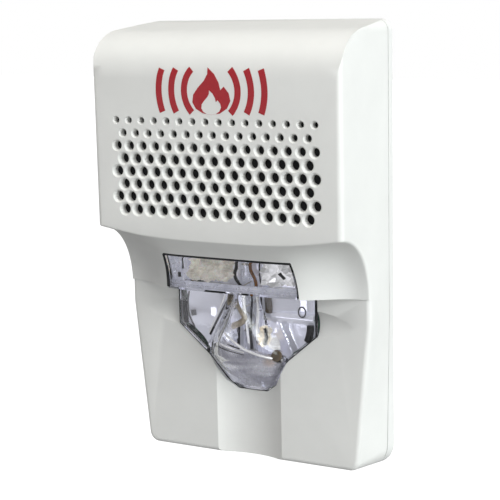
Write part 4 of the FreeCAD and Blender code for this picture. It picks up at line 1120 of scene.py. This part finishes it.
class HORNSTROBE_OT_stage(bpy.types.Operator):
    """Floor, lights and camera"""

    bl_idname = "hornstrobe.stage"
    bl_label = "Studio"

    def execute(self, context):
        studio = context.scene.horn_strobe_studio
        nothing_selected()
        bpy.ops.mesh.primitive_plane_add(size=FLOOR_SIZE, location=(0, 0, FLOOR_HEIGHT))
        floor = context.object
        floor.name = "studio_floor"
        floor.data.materials.append(studio_pale())
        for lamp in LAMPS:
            self.lamp(studio.brightness, *lamp)
        self.sky(context)
        self.camera(context, studio)
        return {"FINISHED"}

    def lamp(self, brightness, name, place, size, power, colour):
        data = bpy.data.lights.new(name, "AREA")
        data.size = size
        data.energy = power * brightness
        data.color = colour
        lamp = bpy.data.objects.new(name, data)
        bpy.context.scene.collection.objects.link(lamp)
        lamp.location = place
        lamp.rotation_euler = (-Vector(place)).to_track_quat("-Z", "Y").to_euler()

    def sky(self, context):
        """Soft light from above and from the right; plain white where it is seen directly."""
        world = bpy.data.worlds.new("studio_sky")
        context.scene.world = world
        world.use_nodes = True
        nodes = world.node_tree.nodes
        links = world.node_tree.links
        place = nodes.new("ShaderNodeTexCoord")
        across = nodes.new("ShaderNodeVectorMath")
        across.operation = "DOT_PRODUCT"
        across.inputs[1].default_value = SKY_FROM
        links.new(place.outputs["Generated"], across.inputs[0])
        spread = nodes.new("ShaderNodeMapRange")
        spread.inputs["From Min"].default_value = -1
        links.new(across.outputs["Value"], spread.inputs["Value"])
        ramp = nodes.new("ShaderNodeValToRGB")
        links.new(spread.outputs["Result"], ramp.inputs["Fac"])
        ramp.color_ramp.elements[0].position = 0.25
        ramp.color_ramp.elements[0].color = SKY_DIM
        ramp.color_ramp.elements[1].position = 0.8
        ramp.color_ramp.elements[1].color = SKY_BRIGHT
        seen = nodes.new("ShaderNodeLightPath")
        mix = nodes.new("ShaderNodeMix")
        mix.data_type = "RGBA"
        mix.inputs["B"].default_value = (1, 1, 1, 1)
        links.new(seen.outputs["Is Camera Ray"], mix.inputs["Factor"])
        links.new(ramp.outputs["Color"], mix.inputs["A"])
        links.new(mix.outputs["Result"], nodes["Background"].inputs["Color"])
        context.scene.view_settings.view_transform = "Standard"

    def camera(self, context, studio):
        data = bpy.data.cameras.new("camera")
        data.lens = studio.lens
        data.sensor_width = SENSOR
        camera = bpy.data.objects.new("camera", data)
        context.scene.collection.objects.link(camera)
        context.scene.camera = camera
        yaw, rise, roll = studio.azimuth, studio.elevation, studio.roll
        ahead = Vector((-math.sin(yaw) * math.cos(rise), math.cos(yaw) * math.cos(rise),
                        -math.sin(rise)))
        right = Vector((math.cos(yaw), math.sin(yaw), 0))
        up = right.cross(ahead)
        across = math.cos(roll) * right + math.sin(roll) * up
        upright = -math.sin(roll) * right + math.cos(roll) * up
        turn = Matrix((across, upright, -ahead)).transposed()
        camera.matrix_world = Matrix.Translation(CAMERA_PLACE) @ turn.to_4x4()


class HORNSTROBE_PT_panel(bpy.types.Panel):
    """Lists the steps that build the horn strobe"""

    bl_label = "Horn strobe"
    bl_idname = "HORNSTROBE_PT_panel"
    bl_space_type = "VIEW_3D"
    bl_region_type = "UI"
    bl_category = "Horn strobe"

    def draw(self, context):
        for step in STEPS:
            self.layout.operator(step.bl_idname)
        for name in ("horn_strobe_cover", "horn_strobe_lens", "horn_strobe_studio"):
            group = getattr(context.scene, name)
            for key in group.__annotations__:
                self.layout.prop(group, key)


STEPS = (HORNSTROBE_OT_cover, HORNSTROBE_OT_plate, HORNSTROBE_OT_sign, HORNSTROBE_OT_lens,
         HORNSTROBE_OT_reflector, HORNSTROBE_OT_strobe, HORNSTROBE_OT_fittings,
         HORNSTROBE_OT_stage)
CLASSES = (CoverSettings, LensSettings, StudioSettings, *STEPS, HORNSTROBE_PT_panel)


def register():
    for item in CLASSES:
        bpy.utils.register_class(item)
    bpy.types.Scene.horn_strobe_cover = PointerProperty(type=CoverSettings)
    bpy.types.Scene.horn_strobe_lens = PointerProperty(type=LensSettings)
    bpy.types.Scene.horn_strobe_studio = PointerProperty(type=StudioSettings)


def unregister():
    del bpy.types.Scene.horn_strobe_cover
    del bpy.types.Scene.horn_strobe_lens
    del bpy.types.Scene.horn_strobe_studio
    for item in reversed(CLASSES):
        bpy.utils.unregister_class(item)


def main():
    register()
    bpy.ops.hornstrobe.cover()
    bpy.ops.hornstrobe.plate()
    bpy.ops.hornstrobe.sign()
    bpy.ops.hornstrobe.lens()
    bpy.ops.hornstrobe.reflector()
    bpy.ops.hornstrobe.strobe()
    bpy.ops.hornstrobe.fittings()
    bpy.ops.hornstrobe.stage()


if __name__ == "__main__":
    main()
